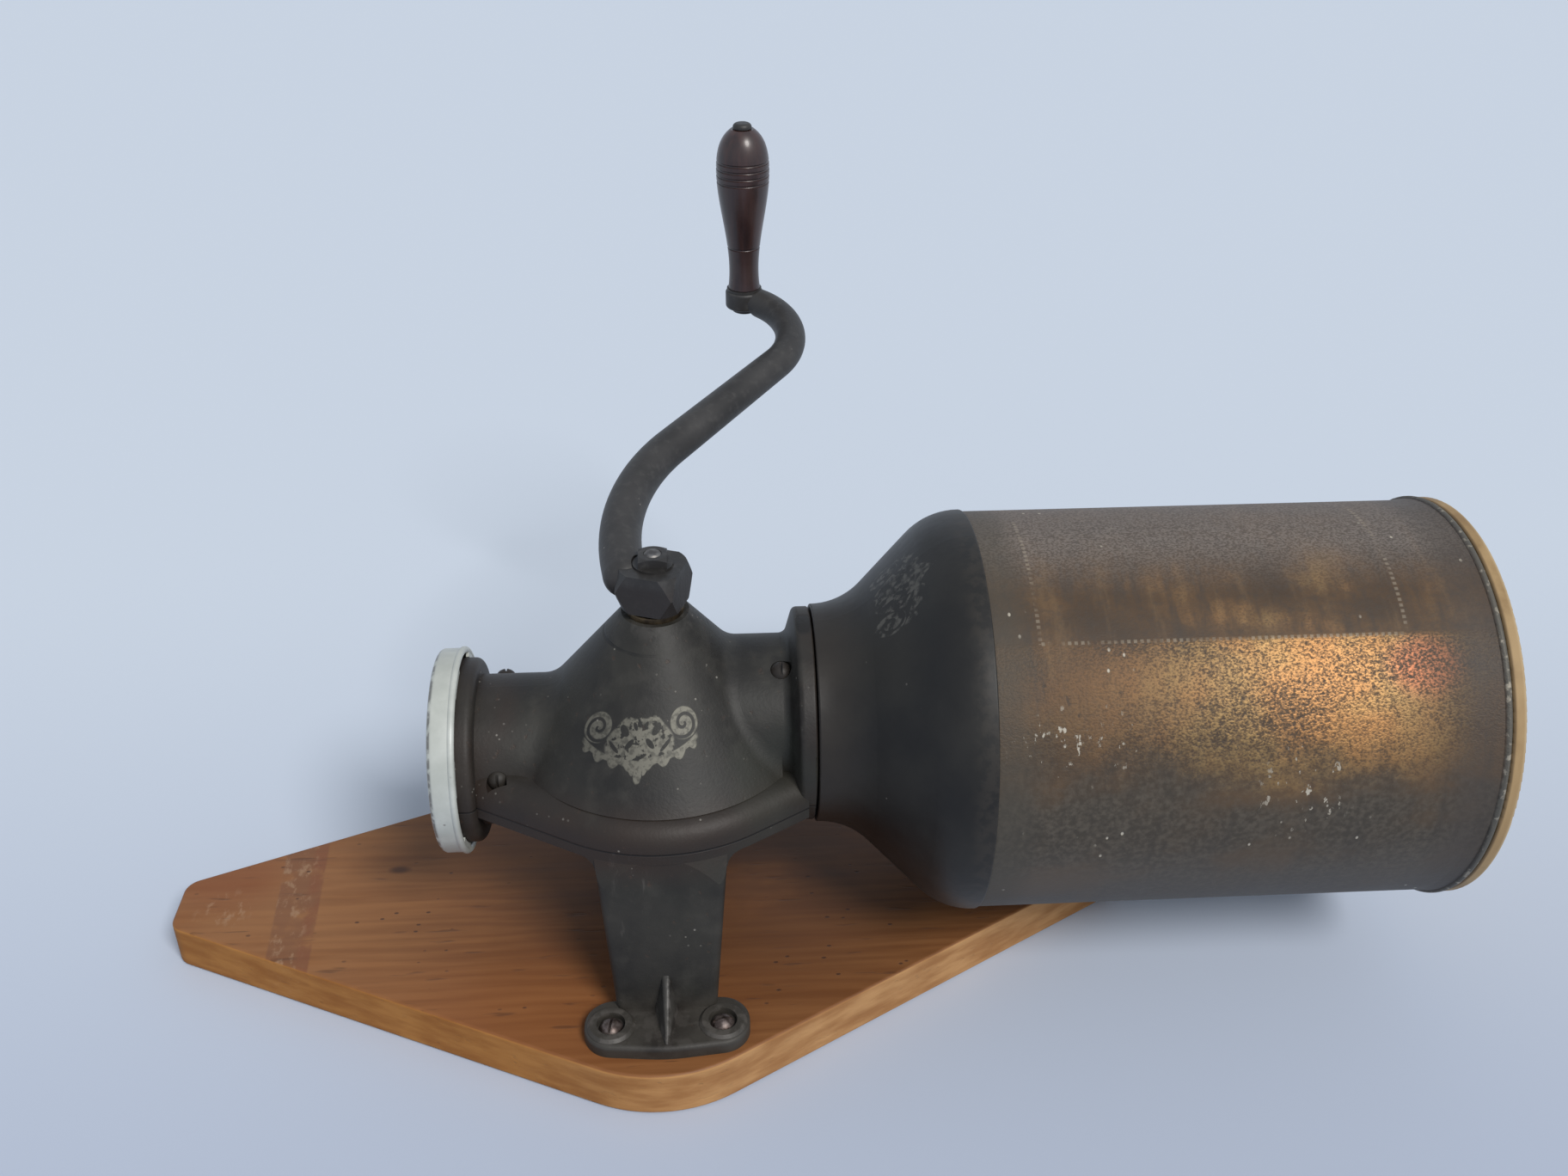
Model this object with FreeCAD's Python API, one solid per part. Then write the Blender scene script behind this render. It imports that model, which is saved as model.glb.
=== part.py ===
import FreeCAD, Part
import math
import os

from FreeCAD import Vector

# A hand cranked coffee mill that hangs on a wall by its wooden board. Millimetres.
# The origin lies on the board's back, on the spindle's axis. +Z leads out of the board along the spindle,
# +X leads to the bean canister, and -X to the outlet for the ground coffee.

# Clearances, and how far a cutting tool runs past the face it opens
RUNNING_CLEARANCE = 0.06
SEAT_CLEARANCE = 0.02
LOOSE_CLEARANCE = 0.3
CUT_PAST = 1.0

# Wooden board, a kite with its outlet tip cut off
BOARD_THICKNESS = 18.0
BOARD_OUTLET_REACH = 211.0
BOARD_POINT_SAWN = 26.5
BOARD_HOPPER_REACH = 178.0
BOARD_NEAR_REACH = 96.0
BOARD_FAR_REACH = 93.0
BOARD_OUTLET_SHIFT = 3.0
BOARD_HOPPER_SHIFT = 9.5
BOARD_SIDE_ROUND = 50.0
BOARD_TIP_ROUND = 7.0
BOARD_POINT_ROUND = 5.0
BOARD_EDGE_ROUND = 1.2

# Cast housing, split on one plane into a front dome and a rear bowl with two legs
PARTING_Z = 86.0
RIM_RADIUS = 57.5
RIM_ABOVE = 10.0
RIM_BELOW = 4.0
RIM_ROUND = 8.5
DOME_FOOT_RADIUS = 51.5
DOME_TOP_RADIUS = 11.5
DOME_HEIGHT = 59.0
DOME_WALL = 5.0
DOME_ROOF = 13.0
CHAMBER_RADIUS = 40.0
NECK_BLEND = 9.0
BOWL_DEPTH = 20.0
BOWL_TOP_RADIUS = 42.0
BOWL_FLOOR_RADIUS = 36.0
BOWL_WALL = 4.0
REAR_BOSS_RADIUS = 13.0
REAR_BOSS_LENGTH = 18.0
REAR_BOSS_BLEND = 2.0
REAR_BOSS_EDGE = 1.0

# Necks of the housing, one to the hopper and one to the outlet
HOPPER_AXIS_Z = 100.0
HOPPER_NECK_RADIUS = 28.5
HOPPER_FLANGE_RADIUS = 37.6
HOPPER_FLANGE_THICKNESS = 5.5
HOPPER_FLANGE_X = 53.0
HOPPER_FLARE_ROUND = 6.0
OUTLET_AXIS_Z = 88.5
OUTLET_NECK_RADIUS = 26.5
OUTLET_NECK_X = 62.5
OUTLET_FAIRING_WIDTH = 60.0
PASSAGE_WALL = 1.5

# Legs and feet
LEG_TOP_WIDTH = 44.0
LEG_FOOT_WIDTH = 34.0
LEG_TOP_OUTSIDE = 57.0
LEG_FOOT_OUTSIDE = 64.5
LEG_TOP_THICKNESS = 13.0
LEG_FOOT_THICKNESS = 10.5
LEG_CORNER_ROUND = 3.0
LEG_FLARE = 5.0
LEG_TOP_TAPER = 0.4
FOOT_THICKNESS = 5.0
FOOT_LENGTH = 56.5
FOOT_SCREW_SPACING = 38.0
FOOT_SCREW_Y = 71.0
FOOT_OUTSIDE = 82.5
FOOT_INSIDE = 59.0
FOOT_BULGE = 3.0
FOOT_END_ROUND = 10.0
FOOT_FRONT_ROUND = 60.0
FOOT_TOP_ROUND = 1.6
SCREW_PAD_RADIUS = 8.2
SCREW_PAD_HEIGHT = 1.2
SCREW_PAD_CHAMFER = 1.0
SCREW_DISH_DEPTH = 2.6
RIB_HEIGHT = 15.0
RIB_FOOT_WIDTH = 11.0
RIB_RIDGE_WIDTH = 2.6
RIB_RIDGE_ROUND = 1.0
RIB_START_Y = 60.5
RIB_END_Y = 80.5
RIB_END_WIDTH = 3.2
RIB_END_HEIGHT = 0.5

# Slotted screws
FOOT_SCREW_HEAD_RADIUS = 4.3
FOOT_SCREW_HEAD_HEIGHT = 3.2
FOOT_SCREW_RADIUS = 2.3
FOOT_SCREW_LENGTH = 16.0
FOOT_SCREW_POINT = 4.6
FOOT_SCREW_TURNS = (80, 10, 35, 120)
SMALL_SCREW_HEAD_RADIUS = 3.6
SMALL_SCREW_HEAD_HEIGHT = 2.4
SMALL_SCREW_RADIUS = 1.6
HOUSING_SCREW_RADIUS = 2.0
HOUSING_SCREW_HEAD_RADIUS = 3.4
HOUSING_SCREW_HEAD_HEIGHT = 2.6
HOUSING_SCREW_GRIP = 6.0
HOUSING_SCREW_COUNT = 4
SLOT_WIDTH = 0.9
SLOT_SHARE = 0.5
NECK_SCREW_COUNT = 3
COLLAR_SCREW_X = 55.0
COLLAR_SCREW_START = 48.0
HOPPER_SCREW_X = 42.0
HOPPER_SCREW_START = 113.0

# Outlet collar and the jar cap that closes it
COLLAR_RADIUS = 32.5
COLLAR_LENGTH = 13.0
COLLAR_SPIGOT_RADIUS = 24.0
COLLAR_SPIGOT_LENGTH = 14.0
COLLAR_BORE_RADIUS = 20.5
COLLAR_BEAD_LENGTH = 6.5
COLLAR_BEAD_ROUND = 2.6
COLLAR_GROOVE_DEPTH = 1.1
COLLAR_GROOVE_SLOPE = 1.0
CAP_RADIUS = 36.0
CAP_WALL = 0.7
CAP_SKIRT_LENGTH = 9.4
CAP_CORNER_ROUND = 2.0
CAP_CURL_RADIUS = 1.25
CAP_PANEL_RADIUS = 29.5
CAP_PANEL_DEPTH = 0.6
CAP_LUG_COUNT = 6
CAP_LUG_ANGLE = 22.0
CAP_LUG_THICKNESS = 1.0
LINER_THICKNESS = 0.9
LINER_WIDTH = 4.3

# Hopper funnel and canister
FUNNEL_SPOUT_RADIUS = 25.0
FUNNEL_SPOUT_LENGTH = 14.0
FUNNEL_FLARE_LENGTH = 7.0
FUNNEL_FLARE_RISE = 9.5
FUNNEL_LIP_RADIUS = 38.4
FUNNEL_SHOULDER_RADIUS = 70.4
FUNNEL_SLOPE_RADIUS = 25.0
FUNNEL_START_X = 53.5
FUNNEL_LENGTH = 54.0
FUNNEL_COLLAR_LENGTH = 5.0
FUNNEL_WALL = 1.8
FUNNEL_LAP = 9.0
CANISTER_RADIUS = 69.7
CANISTER_WALL = 0.8
CANISTER_LENGTH = 162.3
CANISTER_BEAD_RADIUS = 1.2
CANISTER_FLARE = 0.6
CANISTER_FLARE_LENGTH = 6.0
SEAM_WIDTH = 7.0
SEAM_THICKNESS = 0.8
SEAM_ANGLE = -70.0
LID_RADIUS = 70.6
LID_THICKNESS = 4.6
LID_EDGE_ROUND = 1.0
PLUG_THICKNESS = 8.0

# Spindle, burrs and feed worm
SPINDLE_RADIUS = 6.0
SPINDLE_BURR_RADIUS = 7.5
SPINDLE_REAR_RADIUS = 5.0
SPINDLE_SQUARE = 9.0
SPINDLE_TIP_RADIUS = 3.0
SPINDLE_TIP_LENGTH = 4.6
BURR_RING_RADIUS = 36.0
BURR_LEDGE = 5.0
BURR_RING_THICKNESS = 8.0
BURR_RING_BELOW = 3.0
BURR_GAP = 0.8
BURR_TAPER = 0.5
CONE_FOOT_RADIUS = 25.0
CONE_BELOW = 5.0
CONE_HEIGHT = 18.0
CONE_HUB_RADIUS = 12.0
CONE_HUB_HEIGHT = 8.0
BURR_TOOTH_COUNT = 20
BURR_TOOTH_DEPTH = 1.6
BURR_TOOTH_WIDTH = 3.0
BURR_TOOTH_SKEW = 14.0
WORM_RADIUS = 16.0
WORM_HUB_RADIUS = 9.5
WORM_LENGTH = 20.0
WORM_PITCH = 14.0
WORM_FLIGHT_THICKNESS = 2.6
DRIVE_PIN_RADIUS = 1.6
FRONT_BUSH_WALL = 2.0
FRONT_BUSH_COLLAR_HEIGHT = 2.2
REAR_BUSH_WALL = 2.5
REAR_BUSH_LENGTH = 12.0

# Grind setting screw behind the spindle
THRUST_SCREW_RADIUS = 4.5
THRUST_BALL_RADIUS = 4.0
THRUST_HEAD_RADIUS = 13.0
THRUST_HEAD_THICKNESS = 7.0
THRUST_SCREW_LENGTH = 29.5
THRUST_GRIP_COUNT = 18
THRUST_GRIP_RADIUS = 1.6
LOCK_NUT_FLATS = 16.0
LOCK_NUT_THICKNESS = 6.0
GRIND_TRAVEL = 0.6

# Crank with its hub, S-shaped arm and eye
HUB_SIDE = 20.5
HUB_HEIGHT = 14.5
HUB_TURN = -20.0
HUB_CORNER_RADIUS = 14.2
HUB_FACE_RADIUS = 11.6
CRANK_NUT_FLATS = 9.5
CRANK_NUT_HEIGHT = 4.2
CRANK_NUT_CHAMFER = 1.0
CRANK_NUT_FLANGE_RADIUS = 6.8
CRANK_NUT_FLANGE_HEIGHT = 0.8
ARM_ROOT_RADIUS = 7.5
ARM_TIP_RADIUS = 5.6
ARM_ROOT_RISE = 8.5
ARM_SLOPE = 0.25
ARM_START = (-9.6, 2.4)
ARM_INNER_BEND = (-16.5, 40.2)
ARM_OUTER_BEND = (66.4, 135.3)
ARM_INNER_ROUND = 75.0
ARM_OUTER_ROUND = 27.5
HANDLE_PLACE = (36.1, 155.7)
EYE_RADIUS = 7.6
EYE_HEIGHT = 7.4
EYE_ROUND = 1.2

# Turned wooden handle on its riveted pin
PIN_RADIUS = 3.0
PIN_HEAD_RADIUS = 3.7
PIN_HEAD_HEIGHT = 2.0
PIN_HEAD_ROUND = 1.6
PIN_FOOT_RADIUS = 5.0
PIN_FOOT_HEIGHT = 1.8
WASHER_RADIUS = 7.0
WASHER_THICKNESS = 0.8
HANDLE_GAP = 0.3
HANDLE_LENGTH = 63.5
HANDLE_FOOT_RADIUS = 6.4
HANDLE_NECK_RADIUS = 5.9
HANDLE_BELLY_RADIUS = 10.4
HANDLE_TOP_RADIUS = 4.6
HANDLE_NECK_PLACE = 7.0
HANDLE_BELLY_PLACE = 48.5
HANDLE_GROOVES = (17.0, 43.6, 46.2, 48.8, 51.4)
HANDLE_GROOVE_RADIUS = 0.55

# Places worked out from the sizes above
BOARD_OUTLET_CUT = BOARD_OUTLET_REACH - BOARD_POINT_SAWN
RIM_TOP = PARTING_Z + RIM_ABOVE
RIM_BOTTOM = PARTING_Z - RIM_BELOW
DOME_TOP = PARTING_Z + DOME_HEIGHT
DOME_CEILING = DOME_TOP - DOME_ROOF
BOWL_BOTTOM = PARTING_Z - BOWL_DEPTH
REAR_BOSS_TOP = BOWL_BOTTOM - BOWL_WALL
REAR_BOSS_BOTTOM = REAR_BOSS_TOP - REAR_BOSS_LENGTH
RING_BOTTOM = PARTING_Z - BURR_RING_BELOW
RING_TOP = RING_BOTTOM + BURR_RING_THICKNESS
CONE_BOTTOM = RING_BOTTOM - CONE_BELOW
CONE_TOP = CONE_BOTTOM + CONE_HEIGHT
CONE_HUB_TOP = CONE_TOP + CONE_HUB_HEIGHT
CONE_TOP_RADIUS = CONE_FOOT_RADIUS - BURR_TAPER * CONE_HEIGHT
COLLAR_END_X = -OUTLET_NECK_X - COLLAR_LENGTH
CAP_INSIDE_X = COLLAR_END_X - LINER_THICKNESS - SEAT_CLEARANCE
CAP_FACE_X = CAP_INSIDE_X - CAP_WALL
CAP_MOUTH_X = CAP_FACE_X + CAP_SKIRT_LENGTH
FUNNEL_END_X = FUNNEL_START_X + FUNNEL_LENGTH
CANISTER_END_X = FUNNEL_END_X + CANISTER_LENGTH
CANISTER_INSIDE = CANISTER_RADIUS - CANISTER_WALL
LID_X = CANISTER_END_X + CANISTER_BEAD_RADIUS + LOOSE_CLEARANCE
HUB_BOTTOM = DOME_TOP + FRONT_BUSH_COLLAR_HEIGHT + GRIND_TRAVEL + LOOSE_CLEARANCE
HUB_TOP = HUB_BOTTOM + HUB_HEIGHT
ARM_ROOT_Z = HUB_BOTTOM + ARM_ROOT_RISE
REAR_BUSH_RADIUS = SPINDLE_REAR_RADIUS + RUNNING_CLEARANCE + REAR_BUSH_WALL
REAR_BUSH_BOTTOM = BOWL_BOTTOM + BOWL_WALL - REAR_BUSH_LENGTH
SPINDLE_END = REAR_BUSH_BOTTOM + THRUST_BALL_RADIUS
BALL_Z = SPINDLE_END - RUNNING_CLEARANCE - THRUST_BALL_RADIUS
THRUST_TIP = BALL_Z - THRUST_BALL_RADIUS - RUNNING_CLEARANCE
WORM_BOTTOM = CONE_HUB_TOP + SEAT_CLEARANCE
EYE_Z = ARM_ROOT_Z + ARM_SLOPE * HANDLE_PLACE[1]
EYE_TOP = EYE_Z + EYE_HEIGHT / 2
EYE_BOTTOM = EYE_Z - EYE_HEIGHT / 2
HANDLE_BOTTOM = EYE_TOP + WASHER_THICKNESS + HANDLE_GAP
HANDLE_TOP = HANDLE_BOTTOM + HANDLE_LENGTH
HOUSING_SCREW_CIRCLE = (BURR_RING_RADIUS + RIM_RADIUS) / 2

EVEN = 1e-6
ORIGIN = Vector(0, 0, 0)
ALONG_X = Vector(1, 0, 0)
ALONG_Z = Vector(0, 0, 1)


# Tools for outlines and turned shapes

def outline(corners, place, closed=True):
    """A wire through corners (u, v, round): a corner with a round becomes an arc tangent to both sides."""
    points = [place(u, v) for u, v, _ in corners]
    rounds = [r for _, _, r in corners]
    count = len(points)
    stops = []
    for i, (point, r) in enumerate(zip(points, rounds)):
        if r == 0 or (not closed and i in (0, count - 1)):
            stops.append((point, None, point))
            continue
        back = (points[i - 1] - point).normalize()
        ahead = (points[(i + 1) % count] - point).normalize()
        half = back.getAngle(ahead) / 2
        reach = r / math.tan(half)
        middle = (back + ahead).normalize() * (r / math.sin(half) - r)
        stops.append((point + back * reach, point + middle, point + ahead * reach))
    edges = []
    for i, (start, middle, end) in enumerate(stops):
        if middle is not None:
            edges.append(Part.Arc(start, middle, end).toShape())
        if i + 1 < count or closed:
            following = stops[(i + 1) % count][0]
            if (following - end).Length > EVEN:
                edges.append(Part.LineSegment(end, following).toShape())
    return Part.Wire(edges)


def sharp(points):
    """Corners without rounds."""
    return [(u, v, 0) for u, v in points]


def turned_about_z(corners, x=0.0, y=0.0):
    """A solid turned about a vertical axis, from corners (radius, z, round)."""
    wire = outline(corners, lambda r, z: Vector(x + r, y, z))
    return Part.Face(wire).revolve(Vector(x, y, 0), ALONG_Z, 360)


def turned_about_x(corners, axis_z):
    """A solid turned about a line along X at a height, from corners (x, radius, round)."""
    wire = outline(corners, lambda x, r: Vector(x, 0, axis_z + r))
    return Part.Face(wire).revolve(Vector(0, 0, axis_z), ALONG_X, 360)


def plate(corners, z_low, z_high):
    """A flat plate with an outline of corners (x, y, round)."""
    wire = outline(corners, lambda x, y: Vector(x, y, z_low))
    return Part.Face(wire).extrude(Vector(0, 0, z_high - z_low))


def rod_x(radius, x_from, x_to, axis_z):
    return Part.makeCylinder(radius, x_to - x_from, Vector(x_from, 0, axis_z), ALONG_X)


def rod_z(radius, z_from, z_to, x=0.0, y=0.0):
    return Part.makeCylinder(radius, z_to - z_from, Vector(x, y, z_from), ALONG_Z)


def turned_copies(shape, count, start=0.0, centre=ORIGIN, axis=ALONG_Z):
    """Copies of a shape spread evenly round an axis."""
    copies = []
    for k in range(count):
        copy = shape.copy()
        copy.rotate(centre, axis, start + 360.0 * k / count)
        copies.append(copy)
    return copies


def edges_where(shape, test):
    return [edge for edge in shape.Edges if test(edge)]


def slotted_screw(head_radius, head_height, radius, length, point=0.0):
    """A screw along -Z with its head's seat at z = 0, a domed head and one slot."""
    dome = (head_radius ** 2 + head_height ** 2) / (2 * head_height)
    head = Part.makeSphere(dome, Vector(0, 0, head_height - dome))
    head = head.common(rod_z(head_radius + CUT_PAST, 0, head_height + CUT_PAST))
    shank = turned_about_z(sharp([(0, 0), (radius, 0), (radius, point - length), (0, -length)]))
    depth = head_height * SLOT_SHARE
    slot = Part.makeBox(2 * head_radius, SLOT_WIDTH, head_height)
    slot.translate(Vector(-head_radius, -SLOT_WIDTH / 2, head_height - depth))
    return head.fuse(shank).removeSplitter().cut(slot)


# The board

def make_board():
    def outlet_y(side_reach):
        share = (BOARD_OUTLET_REACH - BOARD_OUTLET_CUT) / BOARD_OUTLET_REACH
        return BOARD_OUTLET_SHIFT + (side_reach - BOARD_OUTLET_SHIFT) * share

    corners = [
        (-BOARD_OUTLET_CUT, outlet_y(-BOARD_NEAR_REACH), BOARD_TIP_ROUND),
        (0, -BOARD_NEAR_REACH, BOARD_SIDE_ROUND),
        (BOARD_HOPPER_REACH, BOARD_HOPPER_SHIFT, BOARD_POINT_ROUND),
        (0, BOARD_FAR_REACH, BOARD_SIDE_ROUND),
        (-BOARD_OUTLET_CUT, outlet_y(BOARD_FAR_REACH), BOARD_TIP_ROUND),
    ]
    board = plate(corners, 0, BOARD_THICKNESS)
    flat_edges = edges_where(board, lambda e: abs(e.BoundBox.ZLength) < EVEN)
    board = board.makeFillet(BOARD_EDGE_ROUND, flat_edges)
    for x, y in foot_screw_places():
        board = board.cut(rod_z(FOOT_SCREW_RADIUS + SEAT_CLEARANCE, foot_screw_tip(), BOARD_THICKNESS, x, y))
    return board


def foot_screw_places():
    half = FOOT_SCREW_SPACING / 2
    return [(x, y) for y in (-FOOT_SCREW_Y, FOOT_SCREW_Y) for x in (-half, half)]


def foot_screw_seat():
    return BOARD_THICKNESS + FOOT_THICKNESS + SCREW_PAD_HEIGHT - SCREW_DISH_DEPTH


def foot_screw_tip():
    return foot_screw_seat() - FOOT_SCREW_LENGTH


# The cast housing

def rim_end(x, y):
    """Where the rim's circle ends towards a neck, and the neck's corner that a tangent runs to from there."""
    reach = math.hypot(x, y)
    if reach <= RIM_RADIUS:
        meeting = (x, math.sqrt(RIM_RADIUS ** 2 - x ** 2))
        return meeting, meeting
    angle = math.atan2(y, x) + math.copysign(math.acos(RIM_RADIUS / reach), x)
    return (RIM_RADIUS * math.cos(angle), RIM_RADIUS * math.sin(angle)), (x, y)


def rim_outline():
    """The rim in plan: a circle drawn out by tangents to the outlet neck and to the hopper flange."""
    (t1x, t1y), (outlet_x, outlet_y) = rim_end(-OUTLET_NECK_X, OUTLET_FAIRING_WIDTH / 2)
    (t2x, t2y), (hopper_x, hopper_y) = rim_end(
        HOPPER_FLANGE_X - HOPPER_FLANGE_THICKNESS / 2, HOPPER_FLANGE_RADIUS - PASSAGE_WALL)

    def arc(sign):
        return Part.Arc(Vector(t1x, sign * t1y, 0), Vector(0, sign * RIM_RADIUS, 0), Vector(t2x, sign * t2y, 0))

    lines = [
        (outlet_x, outlet_y, t1x, t1y),
        (t2x, t2y, hopper_x, hopper_y),
        (hopper_x, hopper_y, hopper_x, -hopper_y),
        (hopper_x, -hopper_y, t2x, -t2y),
        (t1x, -t1y, outlet_x, -outlet_y),
        (outlet_x, -outlet_y, outlet_x, outlet_y),
    ]
    edges = [arc(1).toShape(), arc(-1).toShape()]
    for x1, y1, x2, y2 in lines:
        if math.hypot(x2 - x1, y2 - y1) > EVEN:
            edges.append(Part.LineSegment(Vector(x1, y1, 0), Vector(x2, y2, 0)).toShape())
    return Part.Wire(Part.__sortEdges__(edges))


def rim_slab():
    slab = Part.Face(rim_outline()).extrude(Vector(0, 0, RIM_ABOVE + RIM_BELOW))
    slab.translate(Vector(0, 0, RIM_BOTTOM))

    def on_top_side(edge):
        level = edge.BoundBox.ZLength < EVEN and abs(edge.BoundBox.ZMax - RIM_TOP) < EVEN
        return level and edge.BoundBox.XLength > EVEN

    return slab.makeFillet(RIM_ROUND, edges_where(slab, on_top_side))


def flare_start():
    """Where the hopper neck begins to flare out to its flange."""
    return HOPPER_FLANGE_X - HOPPER_FLANGE_THICKNESS - HOPPER_FLARE_ROUND


def hopper_flange():
    x_flange = HOPPER_FLANGE_X - HOPPER_FLANGE_THICKNESS
    return turned_about_x([
        (flare_start(), 0, 0), (flare_start(), HOPPER_NECK_RADIUS, 0),
        (x_flange - HOPPER_FLARE_ROUND / 2, HOPPER_NECK_RADIUS, HOPPER_FLARE_ROUND / 2),
        (x_flange, HOPPER_FLANGE_RADIUS, HOPPER_FLARE_ROUND / 3),
        (HOPPER_FLANGE_X, HOPPER_FLANGE_RADIUS, HOPPER_FLANGE_THICKNESS / 6),
        (HOPPER_FLANGE_X, 0, 0),
    ], HOPPER_AXIS_Z)


def dome_slope():
    return (DOME_FOOT_RADIUS - DOME_TOP_RADIUS) / (DOME_TOP - RIM_TOP)


def dome_radius(z):
    """Outside radius of the dome's cone at a height."""
    return DOME_TOP_RADIUS + dome_slope() * (DOME_TOP - z)


def dome_with_necks():
    """The dome above the rim. Cone and necks are drawn long, joined through a cast radius and cut to length."""
    reach = 2 * RIM_RADIUS
    low = RIM_TOP - RIM_RADIUS
    cone = turned_about_z(sharp([
        (0, low), (dome_radius(low), low), (DOME_TOP_RADIUS, DOME_TOP), (0, DOME_TOP)]))
    to_hopper = rod_x(HOPPER_NECK_RADIUS, 0, reach, HOPPER_AXIS_Z)
    to_outlet = rod_x(OUTLET_NECK_RADIUS, -reach, 0, OUTLET_AXIS_Z)
    body = cone.fuse([to_hopper, to_outlet]).removeSplitter()
    joins = edges_where(body, lambda e: not isinstance(e.Curve, (Part.Line, Part.Circle)))
    body = body.makeFillet(NECK_BLEND, joins)
    return body.common(neck_room(RIM_TOP, DOME_TOP))


def neck_room(z_low, z_high):
    """A block over the housing from the outlet's end to the hopper's flare, between two heights."""
    block = Part.makeBox(flare_start() + OUTLET_NECK_X, 4 * RIM_RADIUS, z_high - z_low)
    block.translate(Vector(-OUTLET_NECK_X, -2 * RIM_RADIUS, z_low))
    return block


def housing_outside():
    below = neck_room(0, RIM_TOP)
    to_outlet = rod_x(OUTLET_NECK_RADIUS, -OUTLET_NECK_X, 0, OUTLET_AXIS_Z).common(below)
    to_hopper = rod_x(HOPPER_NECK_RADIUS, 0, flare_start(), HOPPER_AXIS_Z).common(below)
    bowl = turned_about_z([
        (0, PARTING_Z, 0), (BOWL_TOP_RADIUS, PARTING_Z, 0), (BOWL_TOP_RADIUS, RIM_BOTTOM, 0),
        (BOWL_FLOOR_RADIUS, BOWL_BOTTOM, BOWL_WALL), (REAR_BOSS_RADIUS, REAR_BOSS_TOP, REAR_BOSS_BLEND),
        (REAR_BOSS_RADIUS, REAR_BOSS_BOTTOM, REAR_BOSS_EDGE), (0, REAR_BOSS_BOTTOM, 0)])
    body = rim_slab()
    for piece in (bowl, to_outlet, to_hopper, hopper_flange(), dome_with_necks()):
        body = body.fuse(piece)
    return body


def chamber():
    """The grinding space: a cone over the fixed burr, and a bowl under it that opens to the outlet."""
    skin = DOME_WALL * math.sqrt(1 + dome_slope() ** 2)
    shoulder = RIM_TOP + (DOME_FOOT_RADIUS - skin - CHAMBER_RADIUS) / dome_slope()
    ring = BURR_RING_RADIUS + SEAT_CLEARANCE
    ledge = BURR_RING_RADIUS - BURR_LEDGE
    floor = BOWL_BOTTOM + BOWL_WALL
    return turned_about_z(sharp([
        (0, floor), (ledge, floor), (ledge, RING_BOTTOM), (ring, RING_BOTTOM), (ring, RING_TOP),
        (CHAMBER_RADIUS, RING_TOP), (CHAMBER_RADIUS, shoulder),
        (dome_radius(DOME_CEILING) - skin, DOME_CEILING), (0, DOME_CEILING)]))


def bearing_bores():
    front = rod_z(front_bush_radius() + SEAT_CLEARANCE, DOME_CEILING - CUT_PAST, DOME_TOP + CUT_PAST)
    rear = rod_z(REAR_BUSH_RADIUS + SEAT_CLEARANCE, REAR_BUSH_BOTTOM, BOWL_BOTTOM + BOWL_WALL + CUT_PAST)
    thread_bottom = REAR_BOSS_BOTTOM - CUT_PAST
    thread = rod_z(THRUST_SCREW_RADIUS + RUNNING_CLEARANCE, thread_bottom, REAR_BUSH_BOTTOM + CUT_PAST)
    return [front, rear, thread]


def front_bush_radius():
    return SPINDLE_RADIUS + RUNNING_CLEARANCE + FRONT_BUSH_WALL


def half_space(z, above):
    """A large block on one side of a level."""
    size = 8 * RIM_RADIUS
    block = Part.makeBox(size, size, size)
    block.translate(Vector(-size / 2, -size / 2, z if above else z - size))
    return block


def passages():
    """The way from the hopper in over the fixed burr, and the way out under it to the collar."""
    spout_x = FUNNEL_START_X - FUNNEL_SPOUT_LENGTH
    gap = LOOSE_CLEARANCE
    flare_x = FUNNEL_START_X - FUNNEL_FLARE_LENGTH
    mouth_x = HOPPER_FLANGE_X + CUT_PAST
    mouth = FUNNEL_SPOUT_RADIUS + flare_rise_at(mouth_x)
    seat = turned_about_x(sharp([
        (spout_x, 0), (spout_x, FUNNEL_SPOUT_RADIUS + SEAT_CLEARANCE),
        (flare_x - gap, FUNNEL_SPOUT_RADIUS + SEAT_CLEARANCE),
        (mouth_x - gap, mouth), (mouth_x, mouth), (mouth_x, 0)]), HOPPER_AXIS_Z)
    way_in = rod_x(FUNNEL_SPOUT_RADIUS - FUNNEL_WALL, 0, spout_x + CUT_PAST, HOPPER_AXIS_Z)
    way_in = way_in.common(half_space(RING_TOP + PASSAGE_WALL, True))
    spigot_x = -OUTLET_NECK_X + COLLAR_SPIGOT_LENGTH
    neck_end = -OUTLET_NECK_X - CUT_PAST
    collar = rod_x(COLLAR_SPIGOT_RADIUS + SEAT_CLEARANCE, neck_end, spigot_x, OUTLET_AXIS_Z)
    way_out = rod_x(COLLAR_BORE_RADIUS, spigot_x - CUT_PAST, 0, OUTLET_AXIS_Z)
    way_out = way_out.common(half_space(RING_BOTTOM - PASSAGE_WALL, False))
    way_out = way_out.common(half_space(BOWL_BOTTOM + BOWL_WALL, True))
    return [seat, way_in, collar, way_out]


def flare_rise_at(x):
    return FUNNEL_FLARE_RISE * (x - FUNNEL_START_X + FUNNEL_FLARE_LENGTH) / FUNNEL_FLARE_LENGTH


def radial_screw(x, axis_z, radius, angle, length):
    """A small screw that points at an axis along X, its head's seat at a radius from that axis."""
    screw = slotted_screw(SMALL_SCREW_HEAD_RADIUS, SMALL_SCREW_HEAD_HEIGHT, SMALL_SCREW_RADIUS, length)
    screw.rotate(ORIGIN, ALONG_Z, 90)
    screw.translate(Vector(x, 0, axis_z + radius))
    screw.rotate(Vector(x, 0, axis_z), ALONG_X, angle - 90)
    return screw


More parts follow.
